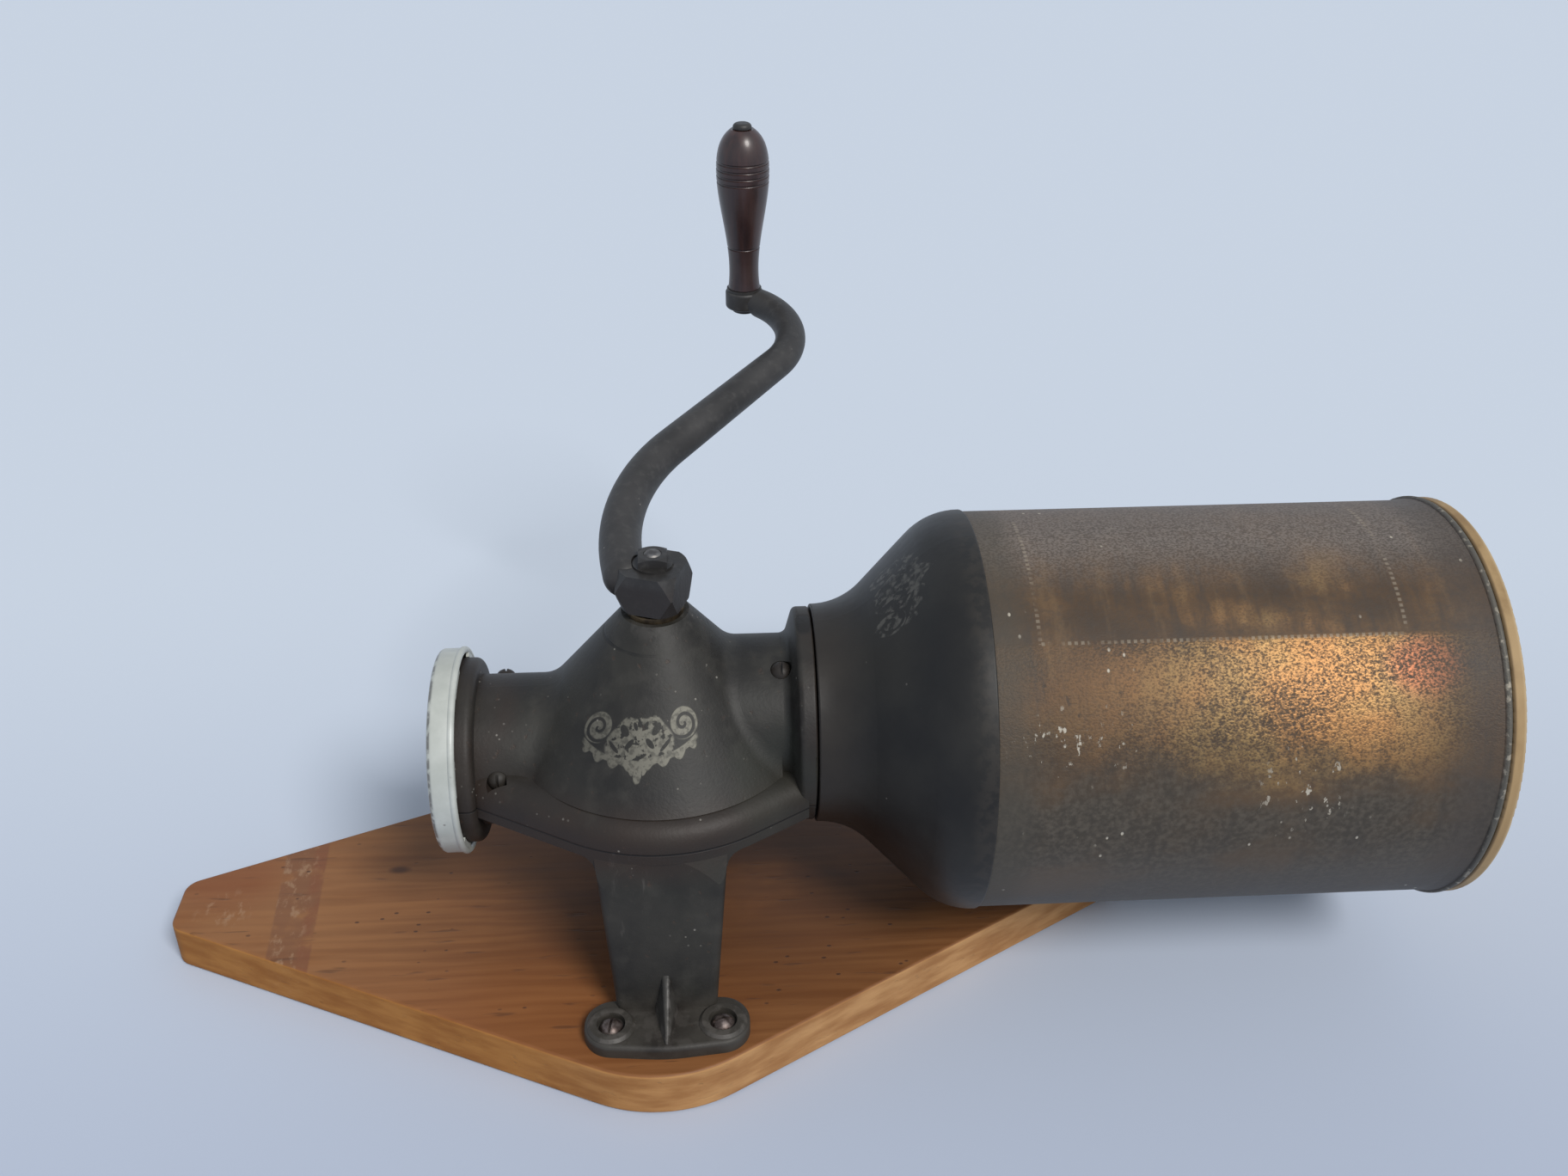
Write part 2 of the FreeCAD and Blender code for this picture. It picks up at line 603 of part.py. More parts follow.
def radial_holes(x, axis_z, radius, start, length):
    """Holes for the small screws round a neck, each with a flat seat for its head."""
    shank = rod_z(SMALL_SCREW_RADIUS + SEAT_CLEARANCE, radius - length, radius + CUT_PAST, x)
    seat = rod_z(SMALL_SCREW_HEAD_RADIUS + SEAT_CLEARANCE, radius, radius + 2 * SMALL_SCREW_HEAD_HEIGHT, x)
    hole = shank.fuse(seat)
    hole.translate(Vector(0, 0, axis_z))
    return turned_copies(hole, NECK_SCREW_COUNT, start - 90, Vector(x, 0, axis_z), ALONG_X)


def neck_screw_sizes():
    """Place, axis height, seat radius, first angle and length for the collar's and the hopper's screws."""
    sink = SMALL_SCREW_HEAD_HEIGHT / 4
    collar_seat = OUTLET_NECK_RADIUS - sink
    hopper_seat = HOPPER_NECK_RADIUS - sink
    collar_depth = collar_seat - (COLLAR_SPIGOT_RADIUS + COLLAR_BORE_RADIUS) / 2
    hopper_depth = hopper_seat - FUNNEL_SPOUT_RADIUS + FUNNEL_WALL / 2
    return [
        (-COLLAR_SCREW_X, OUTLET_AXIS_Z, collar_seat, COLLAR_SCREW_START, collar_depth),
        (HOPPER_SCREW_X, HOPPER_AXIS_Z, hopper_seat, HOPPER_SCREW_START, hopper_depth),
    ]


def all_radial_holes():
    holes = []
    for x, axis_z, radius, start, length in neck_screw_sizes():
        holes += radial_holes(x, axis_z, radius, start, length)
    return holes


def make_neck_screws(which):
    x, axis_z, radius, start, length = neck_screw_sizes()[which]
    step = 360.0 / NECK_SCREW_COUNT
    return [radial_screw(x, axis_z, radius, start + step * k, length) for k in range(NECK_SCREW_COUNT)]


def housing_screw_holes():
    """Holes for the screws that join the castings, spot-faced under the rim for their heads."""
    grip = PARTING_Z + HOUSING_SCREW_GRIP
    hole = rod_z(HOUSING_SCREW_RADIUS + SEAT_CLEARANCE, RIM_BOTTOM - CUT_PAST, grip, HOUSING_SCREW_CIRCLE)
    seat_bottom = RIM_BOTTOM - HOUSING_SCREW_HEAD_HEIGHT - CUT_PAST
    seat = rod_z(HOUSING_SCREW_HEAD_RADIUS + SEAT_CLEARANCE, seat_bottom, RIM_BOTTOM, HOUSING_SCREW_CIRCLE)
    return turned_copies(hole.fuse(seat), HOUSING_SCREW_COUNT, 180.0 / HOUSING_SCREW_COUNT)


def make_housing_screws():
    length = PARTING_Z + HOUSING_SCREW_GRIP - RIM_BOTTOM
    screw = slotted_screw(HOUSING_SCREW_HEAD_RADIUS, HOUSING_SCREW_HEAD_HEIGHT, HOUSING_SCREW_RADIUS, length)
    screw.rotate(ORIGIN, ALONG_X, 180)
    screw.translate(Vector(HOUSING_SCREW_CIRCLE, 0, RIM_BOTTOM))
    return turned_copies(screw, HOUSING_SCREW_COUNT, 180.0 / HOUSING_SCREW_COUNT)


def housing_hollows():
    return [chamber()] + bearing_bores() + passages() + all_radial_holes() + housing_screw_holes()


def make_leg():
    """The near leg with its foot, rib and screw seats."""
    def section(width, outside, thickness, z):
        half = width / 2
        inside = outside - thickness
        return outline([
            (-half, -outside, LEG_CORNER_ROUND), (half, -outside, LEG_CORNER_ROUND),
            (half, -inside, LEG_CORNER_ROUND), (-half, -inside, LEG_CORNER_ROUND),
        ], lambda x, y: Vector(x, y, z))

    leg = Part.makeLoft([
        section(LEG_FOOT_WIDTH, LEG_FOOT_OUTSIDE, LEG_FOOT_THICKNESS, BOARD_THICKNESS),
        section(LEG_TOP_WIDTH, LEG_TOP_OUTSIDE, LEG_TOP_THICKNESS, RIM_BOTTOM),
    ], True, True)
    wide = RIM_RADIUS + LEG_TOP_TAPER * (RIM_BOTTOM - BOARD_THICKNESS)
    leg = leg.common(turned_about_z(sharp([
        (0, BOARD_THICKNESS), (wide, BOARD_THICKNESS), (RIM_RADIUS, RIM_BOTTOM), (0, RIM_BOTTOM)])))
    leg = leg.fuse([leg_flare(), make_foot(), make_rib()])
    pad_top = BOARD_THICKNESS + FOOT_THICKNESS + SCREW_PAD_HEIGHT
    for x, y in foot_screw_places()[:2]:
        pad = rod_z(SCREW_PAD_RADIUS, BOARD_THICKNESS, pad_top, x, y)
        pad = pad.makeChamfer(SCREW_PAD_CHAMFER, edges_where(pad, lambda e: e.BoundBox.ZMin > pad_top - EVEN))
        dish_radius = FOOT_SCREW_HEAD_RADIUS + 2 * LOOSE_CLEARANCE
        dish = rod_z(dish_radius, foot_screw_seat(), pad_top + RIB_HEIGHT, x, y)
        hole = rod_z(FOOT_SCREW_RADIUS + SEAT_CLEARANCE, BOARD_THICKNESS - CUT_PAST, pad_top, x, y)
        leg = leg.fuse(pad).cut(dish).cut(hole)
    return leg


def leg_flare():
    """The leg's top spreads in two hollow curves to the underside of the rim."""
    half = LEG_TOP_WIDTH / 2
    spread = half + LEG_FLARE
    low = RIM_BOTTOM - LEG_FLARE
    face = Part.Face(outline([
        (-spread, PARTING_Z, 0), (spread, PARTING_Z, 0), (spread, RIM_BOTTOM, 0), (half, RIM_BOTTOM, LEG_FLARE),
        (half, low, 0), (-half, low, 0), (-half, RIM_BOTTOM, LEG_FLARE), (-spread, RIM_BOTTOM, 0),
    ], lambda x, z: Vector(x, -LEG_TOP_OUTSIDE, z)))
    flare = face.extrude(Vector(0, LEG_TOP_THICKNESS, 0))
    return flare.common(rod_z(RIM_RADIUS, low, PARTING_Z))


def make_foot():
    top = BOARD_THICKNESS + FOOT_THICKNESS
    half = FOOT_LENGTH / 2
    foot = plate([
        (-half, -FOOT_INSIDE, FOOT_END_ROUND), (-half, FOOT_BULGE - FOOT_OUTSIDE, FOOT_END_ROUND),
        (0, -FOOT_OUTSIDE, FOOT_FRONT_ROUND),
        (half, FOOT_BULGE - FOOT_OUTSIDE, FOOT_END_ROUND), (half, -FOOT_INSIDE, FOOT_END_ROUND),
    ], BOARD_THICKNESS, top)
    return foot.makeFillet(FOOT_TOP_ROUND, edges_where(foot, lambda e: e.BoundBox.ZMin > top - EVEN))


def make_rib():
    """A wedge between leg and foot, broad at the leg and drawn out to nothing at the foot's edge."""
    bottom = BOARD_THICKNESS + FOOT_THICKNESS / 2
    foot_top = BOARD_THICKNESS + FOOT_THICKNESS

    def section(y, foot_width, ridge_width, ridge_round, height):
        top = foot_top + height
        return outline([
            (-foot_width / 2, bottom, 0), (foot_width / 2, bottom, 0),
            (ridge_width / 2, top, ridge_round), (-ridge_width / 2, top, ridge_round),
        ], lambda x, z: Vector(x, -y, z))

    share = RIB_END_WIDTH / RIB_FOOT_WIDTH
    return Part.makeLoft([
        section(RIB_START_Y, RIB_FOOT_WIDTH, RIB_RIDGE_WIDTH, RIB_RIDGE_ROUND, RIB_HEIGHT),
        section(RIB_END_Y, RIB_END_WIDTH, RIB_RIDGE_WIDTH * share, RIB_RIDGE_ROUND * share, RIB_END_HEIGHT),
    ], True, True)


def make_rear_housing(outside):
    near_leg = make_leg()
    far_leg = near_leg.copy()
    far_leg.rotate(ORIGIN, ALONG_Z, 180)
    body = outside.common(half_space(PARTING_Z, False))
    body = body.fuse([near_leg, far_leg])
    return body.cut(housing_hollows())


def make_front_housing(outside):
    return outside.common(half_space(PARTING_Z, True)).cut(housing_hollows())


def make_foot_screws():
    screws = []
    for turn, (x, y) in zip(FOOT_SCREW_TURNS, foot_screw_places()):
        screw = slotted_screw(FOOT_SCREW_HEAD_RADIUS, FOOT_SCREW_HEAD_HEIGHT, FOOT_SCREW_RADIUS,
                              FOOT_SCREW_LENGTH, FOOT_SCREW_POINT)
        screw.rotate(ORIGIN, ALONG_Z, turn)
        screw.translate(Vector(x, y, foot_screw_seat()))
        screws.append(screw)
    return screws


# Outlet collar and cap

def make_collar():
    neck_end = -OUTLET_NECK_X
    bead_end = neck_end - COLLAR_BEAD_LENGTH
    groove = COLLAR_RADIUS - COLLAR_GROOVE_DEPTH
    body = turned_about_x([
        (neck_end + COLLAR_SPIGOT_LENGTH, COLLAR_BORE_RADIUS, 0),
        (neck_end + COLLAR_SPIGOT_LENGTH, COLLAR_SPIGOT_RADIUS, 0),
        (neck_end, COLLAR_SPIGOT_RADIUS, 0),
        (neck_end, COLLAR_RADIUS, COLLAR_BEAD_ROUND),
        (bead_end, COLLAR_RADIUS, COLLAR_GROOVE_DEPTH), (bead_end - COLLAR_GROOVE_SLOPE, groove, 0),
        (COLLAR_END_X, groove, COLLAR_GROOVE_DEPTH), (COLLAR_END_X, COLLAR_BORE_RADIUS, 0),
    ], OUTLET_AXIS_Z)
    holes = radial_holes(*neck_screw_sizes()[0])
    return body.cut(holes)


def make_cap():
    inside = CAP_RADIUS - CAP_WALL
    curl_x = CAP_MOUTH_X - CAP_CURL_RADIUS
    panel_x = CAP_FACE_X + CAP_PANEL_DEPTH
    shell = turned_about_x([
        (panel_x, 0, 0), (panel_x, CAP_PANEL_RADIUS - CAP_PANEL_DEPTH, 0),
        (CAP_FACE_X, CAP_PANEL_RADIUS, 0), (CAP_FACE_X, CAP_RADIUS, CAP_CORNER_ROUND),
        (curl_x, CAP_RADIUS, 0), (curl_x, inside, 0),
        (CAP_INSIDE_X, inside, CAP_CORNER_ROUND - CAP_WALL), (CAP_INSIDE_X, CAP_PANEL_RADIUS, 0),
        (CAP_INSIDE_X + CAP_PANEL_DEPTH, CAP_PANEL_RADIUS - CAP_PANEL_DEPTH, 0),
        (CAP_INSIDE_X + CAP_PANEL_DEPTH, 0, 0),
    ], OUTLET_AXIS_Z)
    curl = Part.makeTorus(inside, CAP_CURL_RADIUS, Vector(curl_x, 0, OUTLET_AXIS_Z), ALONG_X)
    lug_inside = COLLAR_RADIUS + LOOSE_CLEARANCE
    lug = Part.makeCylinder(inside, CAP_LUG_THICKNESS, Vector(curl_x, 0, OUTLET_AXIS_Z), ALONG_X, CAP_LUG_ANGLE)
    lug = lug.cut(rod_x(lug_inside, curl_x - CUT_PAST, CAP_MOUTH_X + CUT_PAST, OUTLET_AXIS_Z))
    lugs = turned_copies(lug, CAP_LUG_COUNT, 0, Vector(curl_x, 0, OUTLET_AXIS_Z), ALONG_X)
    return shell.fuse([curl] + lugs)


def make_liner():
    outside = CAP_RADIUS - CAP_CORNER_ROUND
    face = CAP_INSIDE_X
    return turned_about_x([
        (face, outside - LINER_WIDTH, 0), (face, outside, 0),
        (face + LINER_THICKNESS, outside, LINER_THICKNESS / 3),
        (face + LINER_THICKNESS, outside - LINER_WIDTH, LINER_THICKNESS / 3),
    ], OUTLET_AXIS_Z)


# Hopper funnel, canister and lid

def make_funnel():
    """A spun funnel: spout in the neck, lip on the flange, an S-shaped slope and a lap for the canister."""
    spout_x = FUNNEL_START_X - FUNNEL_SPOUT_LENGTH
    flare_x = FUNNEL_START_X - FUNNEL_FLARE_LENGTH
    flare = FUNNEL_SPOUT_RADIUS + FUNNEL_FLARE_RISE
    end = FUNNEL_END_X
    shoulder_x = end - FUNNEL_COLLAR_LENGTH
    slope_x = FUNNEL_START_X + FUNNEL_COLLAR_LENGTH
    wall = FUNNEL_WALL
    run = shoulder_x - slope_x
    rise = FUNNEL_SHOULDER_RADIUS - FUNNEL_LIP_RADIUS
    foot = slope_x + max(run - rise, 0) / 2
    head = shoulder_x - max(run - rise, 0) / 2
    lap = CANISTER_INSIDE - SEAT_CLEARANCE
    return turned_about_x([
        (spout_x, FUNNEL_SPOUT_RADIUS - wall, 0), (spout_x, FUNNEL_SPOUT_RADIUS, 0),
        (flare_x, FUNNEL_SPOUT_RADIUS, 0), (FUNNEL_START_X, flare, 0),
        (FUNNEL_START_X, FUNNEL_LIP_RADIUS, wall / 3),
        (foot, FUNNEL_LIP_RADIUS, FUNNEL_SLOPE_RADIUS),
        (head, FUNNEL_SHOULDER_RADIUS, FUNNEL_SLOPE_RADIUS),
        (end, FUNNEL_SHOULDER_RADIUS, wall / 3), (end, lap, 0),
        (end + FUNNEL_LAP, lap, 0), (end + FUNNEL_LAP, lap - wall, 0),
        (head, lap - wall, FUNNEL_SLOPE_RADIUS - wall),
        (foot + wall, flare, FUNNEL_SLOPE_RADIUS - wall),
        (FUNNEL_START_X + wall, flare, wall), (flare_x + wall, FUNNEL_SPOUT_RADIUS - wall, wall),
    ], HOPPER_AXIS_Z).cut(radial_holes(*neck_screw_sizes()[1]))


def canister_bead_circle():
    return (CANISTER_RADIUS + CANISTER_INSIDE) / 2 + CANISTER_FLARE


def make_canister():
    x0, x1 = FUNNEL_END_X, CANISTER_END_X
    outside, inside = CANISTER_RADIUS, CANISTER_INSIDE
    flare_x = x1 - CANISTER_FLARE_LENGTH
    tube = turned_about_x([
        (x0, inside, 0), (x0, outside, 0), (flare_x, outside, CANISTER_FLARE_LENGTH),
        (x1, outside + CANISTER_FLARE, 0), (x1, inside + CANISTER_FLARE, 0),
        (flare_x, inside, CANISTER_FLARE_LENGTH)], HOPPER_AXIS_Z)
    bead = Part.makeTorus(canister_bead_circle(), CANISTER_BEAD_RADIUS, Vector(x1, 0, HOPPER_AXIS_Z), ALONG_X)
    seam_angle = math.degrees(SEAM_WIDTH / outside)
    start = Vector(x0 + FUNNEL_LAP, 0, HOPPER_AXIS_Z)
    length = flare_x - start.x
    seam = Part.makeCylinder(outside + SEAM_THICKNESS, length, start, ALONG_X, seam_angle)
    seam = seam.cut(rod_x((outside + inside) / 2, x0, x1, HOPPER_AXIS_Z))
    seam.rotate(start, ALONG_X, SEAM_ANGLE)
    return tube.fuse([bead, seam])


def make_lid():
    return turned_about_x([
        (LID_X, 0, 0), (LID_X, LID_RADIUS, LID_EDGE_ROUND),
        (LID_X + LID_THICKNESS, LID_RADIUS, LID_EDGE_ROUND), (LID_X + LID_THICKNESS, 0, 0)], HOPPER_AXIS_Z)


def make_plug():
    radius = canister_bead_circle() - CANISTER_BEAD_RADIUS - LOOSE_CLEARANCE
    x = LID_X - PLUG_THICKNESS
    return turned_about_x([
        (x, 0, 0), (x, radius, LID_EDGE_ROUND), (LID_X, radius, 0), (LID_X, 0, 0)], HOPPER_AXIS_Z)


# Grinding parts

def cone_radius(z):
    return CONE_FOOT_RADIUS - BURR_TAPER * (z - CONE_BOTTOM)


def tooth_cutters(outward, low, high):
    """Skewed V grooves along a cone, cut from outside it or from inside it."""
    sections = []
    for z, turn in ((low - CUT_PAST, 0), (high + CUT_PAST, BURR_TOOTH_SKEW)):
        surface = cone_radius(z) + (0 if outward else BURR_GAP)
        root = surface - BURR_TOOTH_DEPTH if outward else surface + BURR_TOOTH_DEPTH
        mouth = surface + BURR_TOOTH_DEPTH if outward else surface - BURR_TOOTH_DEPTH
        wire = Part.makePolygon([
            Vector(root, 0, z), Vector(mouth, BURR_TOOTH_WIDTH, z),
            Vector(mouth, -BURR_TOOTH_WIDTH, z), Vector(root, 0, z)])
        wire.rotate(ORIGIN, ALONG_Z, turn)
        sections.append(wire)
    groove = Part.makeLoft(sections, True, True)
    return turned_copies(groove, BURR_TOOTH_COUNT)


def make_grinding_ring():
    ring = turned_about_z(sharp([
        (cone_radius(RING_BOTTOM) + BURR_GAP, RING_BOTTOM), (BURR_RING_RADIUS, RING_BOTTOM),
        (BURR_RING_RADIUS, RING_TOP), (cone_radius(RING_TOP) + BURR_GAP, RING_TOP)]))
    return ring.cut(tooth_cutters(False, RING_BOTTOM, RING_TOP))


def make_grinding_cone():
    bore = SPINDLE_BURR_RADIUS + SEAT_CLEARANCE
    cone = turned_about_z(sharp([
        (bore, CONE_BOTTOM), (CONE_FOOT_RADIUS, CONE_BOTTOM), (CONE_TOP_RADIUS, CONE_TOP),
        (CONE_HUB_RADIUS, CONE_TOP), (CONE_HUB_RADIUS, CONE_HUB_TOP), (bore, CONE_HUB_TOP)]))
    return cone.cut(tooth_cutters(True, CONE_BOTTOM, CONE_TOP)).cut(drive_pin(SEAT_CLEARANCE))


def drive_pin(clearance=0.0):
    length = 2 * (CONE_HUB_RADIUS + clearance)
    z = CONE_TOP + CONE_HUB_HEIGHT / 2
    return Part.makeCylinder(DRIVE_PIN_RADIUS + clearance, length, Vector(-length / 2, 0, z), ALONG_X)


def make_feed_worm():
    bore = SPINDLE_BURR_RADIUS + SEAT_CLEARANCE
    top = WORM_BOTTOM + WORM_LENGTH
    hub = rod_z(WORM_HUB_RADIUS, WORM_BOTTOM, top)
    climb = WORM_LENGTH - WORM_FLIGHT_THICKNESS
    root = (bore + WORM_HUB_RADIUS) / 2
    helix = Part.makeHelix(WORM_PITCH, climb, WORM_RADIUS)
    half = WORM_FLIGHT_THICKNESS / 2
    section = Part.makePolygon([
        Vector(root, 0, -half), Vector(WORM_RADIUS, 0, -half),
        Vector(WORM_RADIUS, 0, half), Vector(root, 0, half), Vector(root, 0, -half)])
    flight = Part.Wire(helix).makePipeShell([section], True, True)
    flight.translate(Vector(0, 0, WORM_BOTTOM + half))
    return hub.fuse(flight).cut(rod_z(bore, WORM_BOTTOM - CUT_PAST, top + CUT_PAST))


def spindle_square(clearance=0.0):
    """The squared end that drives the crank, its corners left round by the bar."""
    side = SPINDLE_SQUARE + 2 * clearance
    block = Part.makeBox(side, side, HUB_HEIGHT)
    block.translate(Vector(-side / 2, -side / 2, HUB_BOTTOM))
    block.rotate(ORIGIN, ALONG_Z, HUB_TURN)
    return block.common(rod_z(SPINDLE_RADIUS + clearance, HUB_BOTTOM, HUB_TOP))


def make_spindle():
    worm_top = WORM_BOTTOM + WORM_LENGTH
    bar = turned_about_z(sharp([
        (0, SPINDLE_END), (SPINDLE_REAR_RADIUS, SPINDLE_END), (SPINDLE_REAR_RADIUS, CONE_BOTTOM),
        (SPINDLE_BURR_RADIUS, CONE_BOTTOM), (SPINDLE_BURR_RADIUS, worm_top), (SPINDLE_RADIUS, worm_top),
        (SPINDLE_RADIUS, HUB_BOTTOM), (0, HUB_BOTTOM)]))
    tip = rod_z(SPINDLE_TIP_RADIUS, HUB_TOP, HUB_TOP + SPINDLE_TIP_LENGTH)
    tip = tip.makeChamfer(SPINDLE_TIP_RADIUS / 5, edges_where(tip, lambda e: e.BoundBox.ZMin > HUB_TOP + EVEN))
    return bar.fuse([spindle_square(), tip]).cut(drive_pin(SEAT_CLEARANCE))


def make_front_bush():
    bore = SPINDLE_RADIUS + RUNNING_CLEARANCE
    outside = front_bush_radius()
    collar = (outside + DOME_TOP_RADIUS) / 2
    collar_top = DOME_TOP + FRONT_BUSH_COLLAR_HEIGHT
    return turned_about_z([
        (bore, DOME_CEILING, 0), (outside, DOME_CEILING, 0), (outside, DOME_TOP, 0), (collar, DOME_TOP, 0),
        (collar, collar_top, FRONT_BUSH_COLLAR_HEIGHT / 3), (bore, collar_top, 0)])


def make_rear_bush():
    bore = SPINDLE_REAR_RADIUS + RUNNING_CLEARANCE
    top = BOWL_BOTTOM + BOWL_WALL
    return turned_about_z(sharp([
        (bore, REAR_BUSH_BOTTOM), (REAR_BUSH_RADIUS, REAR_BUSH_BOTTOM), (REAR_BUSH_RADIUS, top), (bore, top)]))


def make_thrust_ball():
    return Part.makeSphere(THRUST_BALL_RADIUS, Vector(0, 0, BALL_Z))


def make_thrust_screw():
    bottom = THRUST_TIP - THRUST_SCREW_LENGTH
    head_top = bottom + THRUST_HEAD_THICKNESS
    edge = THRUST_HEAD_THICKNESS / 6
    screw = turned_about_z([
        (0, bottom, 0), (THRUST_HEAD_RADIUS, bottom, edge), (THRUST_HEAD_RADIUS, head_top, edge),
        (THRUST_SCREW_RADIUS, head_top, 0), (THRUST_SCREW_RADIUS, THRUST_TIP, 0), (0, THRUST_TIP, 0)])
    grip_x = THRUST_HEAD_RADIUS + THRUST_GRIP_RADIUS / 2
    grip = rod_z(THRUST_GRIP_RADIUS, bottom - CUT_PAST, head_top + CUT_PAST, grip_x)
    return screw.cut(turned_copies(grip, THRUST_GRIP_COUNT))


def make_lock_nut():
    corner = LOCK_NUT_FLATS / math.sqrt(3)
    bottom = REAR_BOSS_BOTTOM - LOCK_NUT_THICKNESS
    points = [Vector(corner, 0, bottom)]
    for k in range(1, 7):
        points.append(Vector(corner * math.cos(math.pi * k / 3), corner * math.sin(math.pi * k / 3), bottom))
    nut = Part.Face(Part.makePolygon(points)).extrude(Vector(0, 0, LOCK_NUT_THICKNESS))
    crown = turned_about_z(sharp([
        (0, bottom), (LOCK_NUT_FLATS / 2, bottom), (corner, bottom + corner - LOCK_NUT_FLATS / 2),
        (corner, REAR_BOSS_BOTTOM), (0, REAR_BOSS_BOTTOM)]))
    hole = rod_z(THRUST_SCREW_RADIUS + RUNNING_CLEARANCE, bottom - CUT_PAST, REAR_BOSS_BOTTOM + CUT_PAST)
    return nut.common(crown).cut(hole)


# Crank and handle

def make_crank():
    def lifted(x, y):
        return Vector(x, y, ARM_ROOT_Z + ARM_SLOPE * y)

    path = outline([
        (*ARM_START, 0), (*ARM_INNER_BEND, ARM_INNER_ROUND), (*ARM_OUTER_BEND, ARM_OUTER_ROUND),
        (*HANDLE_PLACE, 0)], lifted, closed=False)
    start, end = lifted(*ARM_START), lifted(*HANDLE_PLACE)
    heading = lifted(*ARM_INNER_BEND) - start
    arrival = end - lifted(*ARM_OUTER_BEND)
    root = Part.Wire(Part.Circle(start, heading, ARM_ROOT_RADIUS).toShape())
    tip = Part.Wire(Part.Circle(end, arrival, ARM_TIP_RADIUS).toShape())
    sweep = Part.BRepOffsetAPI.MakePipeShell(path)
    sweep.add(root)
    sweep.add(tip)
    sweep.build()
    sweep.makeSolid()
    arm = sweep.shape()
    heel = Part.makeSphere(ARM_ROOT_RADIUS, start)
    eye = rod_z(EYE_RADIUS, EYE_BOTTOM, EYE_TOP, *HANDLE_PLACE)
    eye = eye.makeFillet(EYE_ROUND, edges_where(eye, lambda e: isinstance(e.Curve, Part.Circle)))
    crank = make_hub().fuse([arm, heel, eye])
    crank = crank.cut(spindle_square(SEAT_CLEARANCE))
    pin_hole = rod_z(PIN_RADIUS + SEAT_CLEARANCE, EYE_BOTTOM - EYE_HEIGHT, EYE_TOP + EYE_HEIGHT, *HANDLE_PLACE)
    face_above = rod_z(EYE_RADIUS, EYE_TOP, EYE_TOP + EYE_HEIGHT, *HANDLE_PLACE)
    face_below = rod_z(EYE_RADIUS, EYE_BOTTOM - EYE_HEIGHT, EYE_BOTTOM, *HANDLE_PLACE)
    nut_seat = rod_z(CRANK_NUT_FLANGE_RADIUS + LOOSE_CLEARANCE, HUB_TOP, HUB_TOP + CRANK_NUT_HEIGHT)
    return crank.cut([pin_hole, face_above, face_below, nut_seat])


def make_hub():
    """A square block whose corners are turned away at the top and the bottom."""
    block = Part.makeBox(HUB_SIDE, HUB_SIDE, HUB_HEIGHT)
    block.translate(Vector(-HUB_SIDE / 2, -HUB_SIDE / 2, HUB_BOTTOM))
    block.rotate(ORIGIN, ALONG_Z, HUB_TURN)
    middle = (HUB_BOTTOM + HUB_TOP) / 2
    barrel = turned_about_z(sharp([
        (0, HUB_BOTTOM), (HUB_FACE_RADIUS, HUB_BOTTOM), (HUB_CORNER_RADIUS, middle),
        (HUB_FACE_RADIUS, HUB_TOP), (0, HUB_TOP)]))
    return block.common(barrel)


def make_crank_nut():
    """A square nut on a round flange, with its upper corners turned away."""
    top = HUB_TOP + CRANK_NUT_HEIGHT
    half = CRANK_NUT_FLATS / 2
    corner = half * math.sqrt(2)
    block = Part.makeBox(CRANK_NUT_FLATS, CRANK_NUT_FLATS, CRANK_NUT_HEIGHT)
    block.translate(Vector(-half, -half, HUB_TOP))
    barrel = turned_about_z(sharp([
        (0, HUB_TOP), (corner, HUB_TOP), (corner, top - CRANK_NUT_CHAMFER), (half, top), (0, top)]))
    flange = rod_z(CRANK_NUT_FLANGE_RADIUS, HUB_TOP, HUB_TOP + CRANK_NUT_FLANGE_HEIGHT)
    thread = rod_z(SPINDLE_TIP_RADIUS + SEAT_CLEARANCE, HUB_TOP, top)
    return block.common(barrel).fuse(flange).removeSplitter().cut(thread)


def make_handle_pin():
    head = HANDLE_TOP + HANDLE_GAP
    foot = EYE_BOTTOM - PIN_FOOT_HEIGHT
    return turned_about_z([
        (0, foot, 0), (PIN_FOOT_RADIUS, foot, PIN_FOOT_HEIGHT / 2), (PIN_FOOT_RADIUS, EYE_BOTTOM, 0),
        (PIN_RADIUS, EYE_BOTTOM, 0), (PIN_RADIUS, head, 0), (PIN_HEAD_RADIUS, head, 0),
        (PIN_HEAD_RADIUS, head + PIN_HEAD_HEIGHT, PIN_HEAD_ROUND), (0, head + PIN_HEAD_HEIGHT, 0),
    ], *HANDLE_PLACE)


def make_handle_washer():
    hole = PIN_RADIUS + SEAT_CLEARANCE
    top = EYE_TOP + WASHER_THICKNESS
    return turned_about_z(sharp([
        (hole, EYE_TOP), (WASHER_RADIUS, EYE_TOP), (WASHER_RADIUS, top), (hole, top)]), *HANDLE_PLACE)


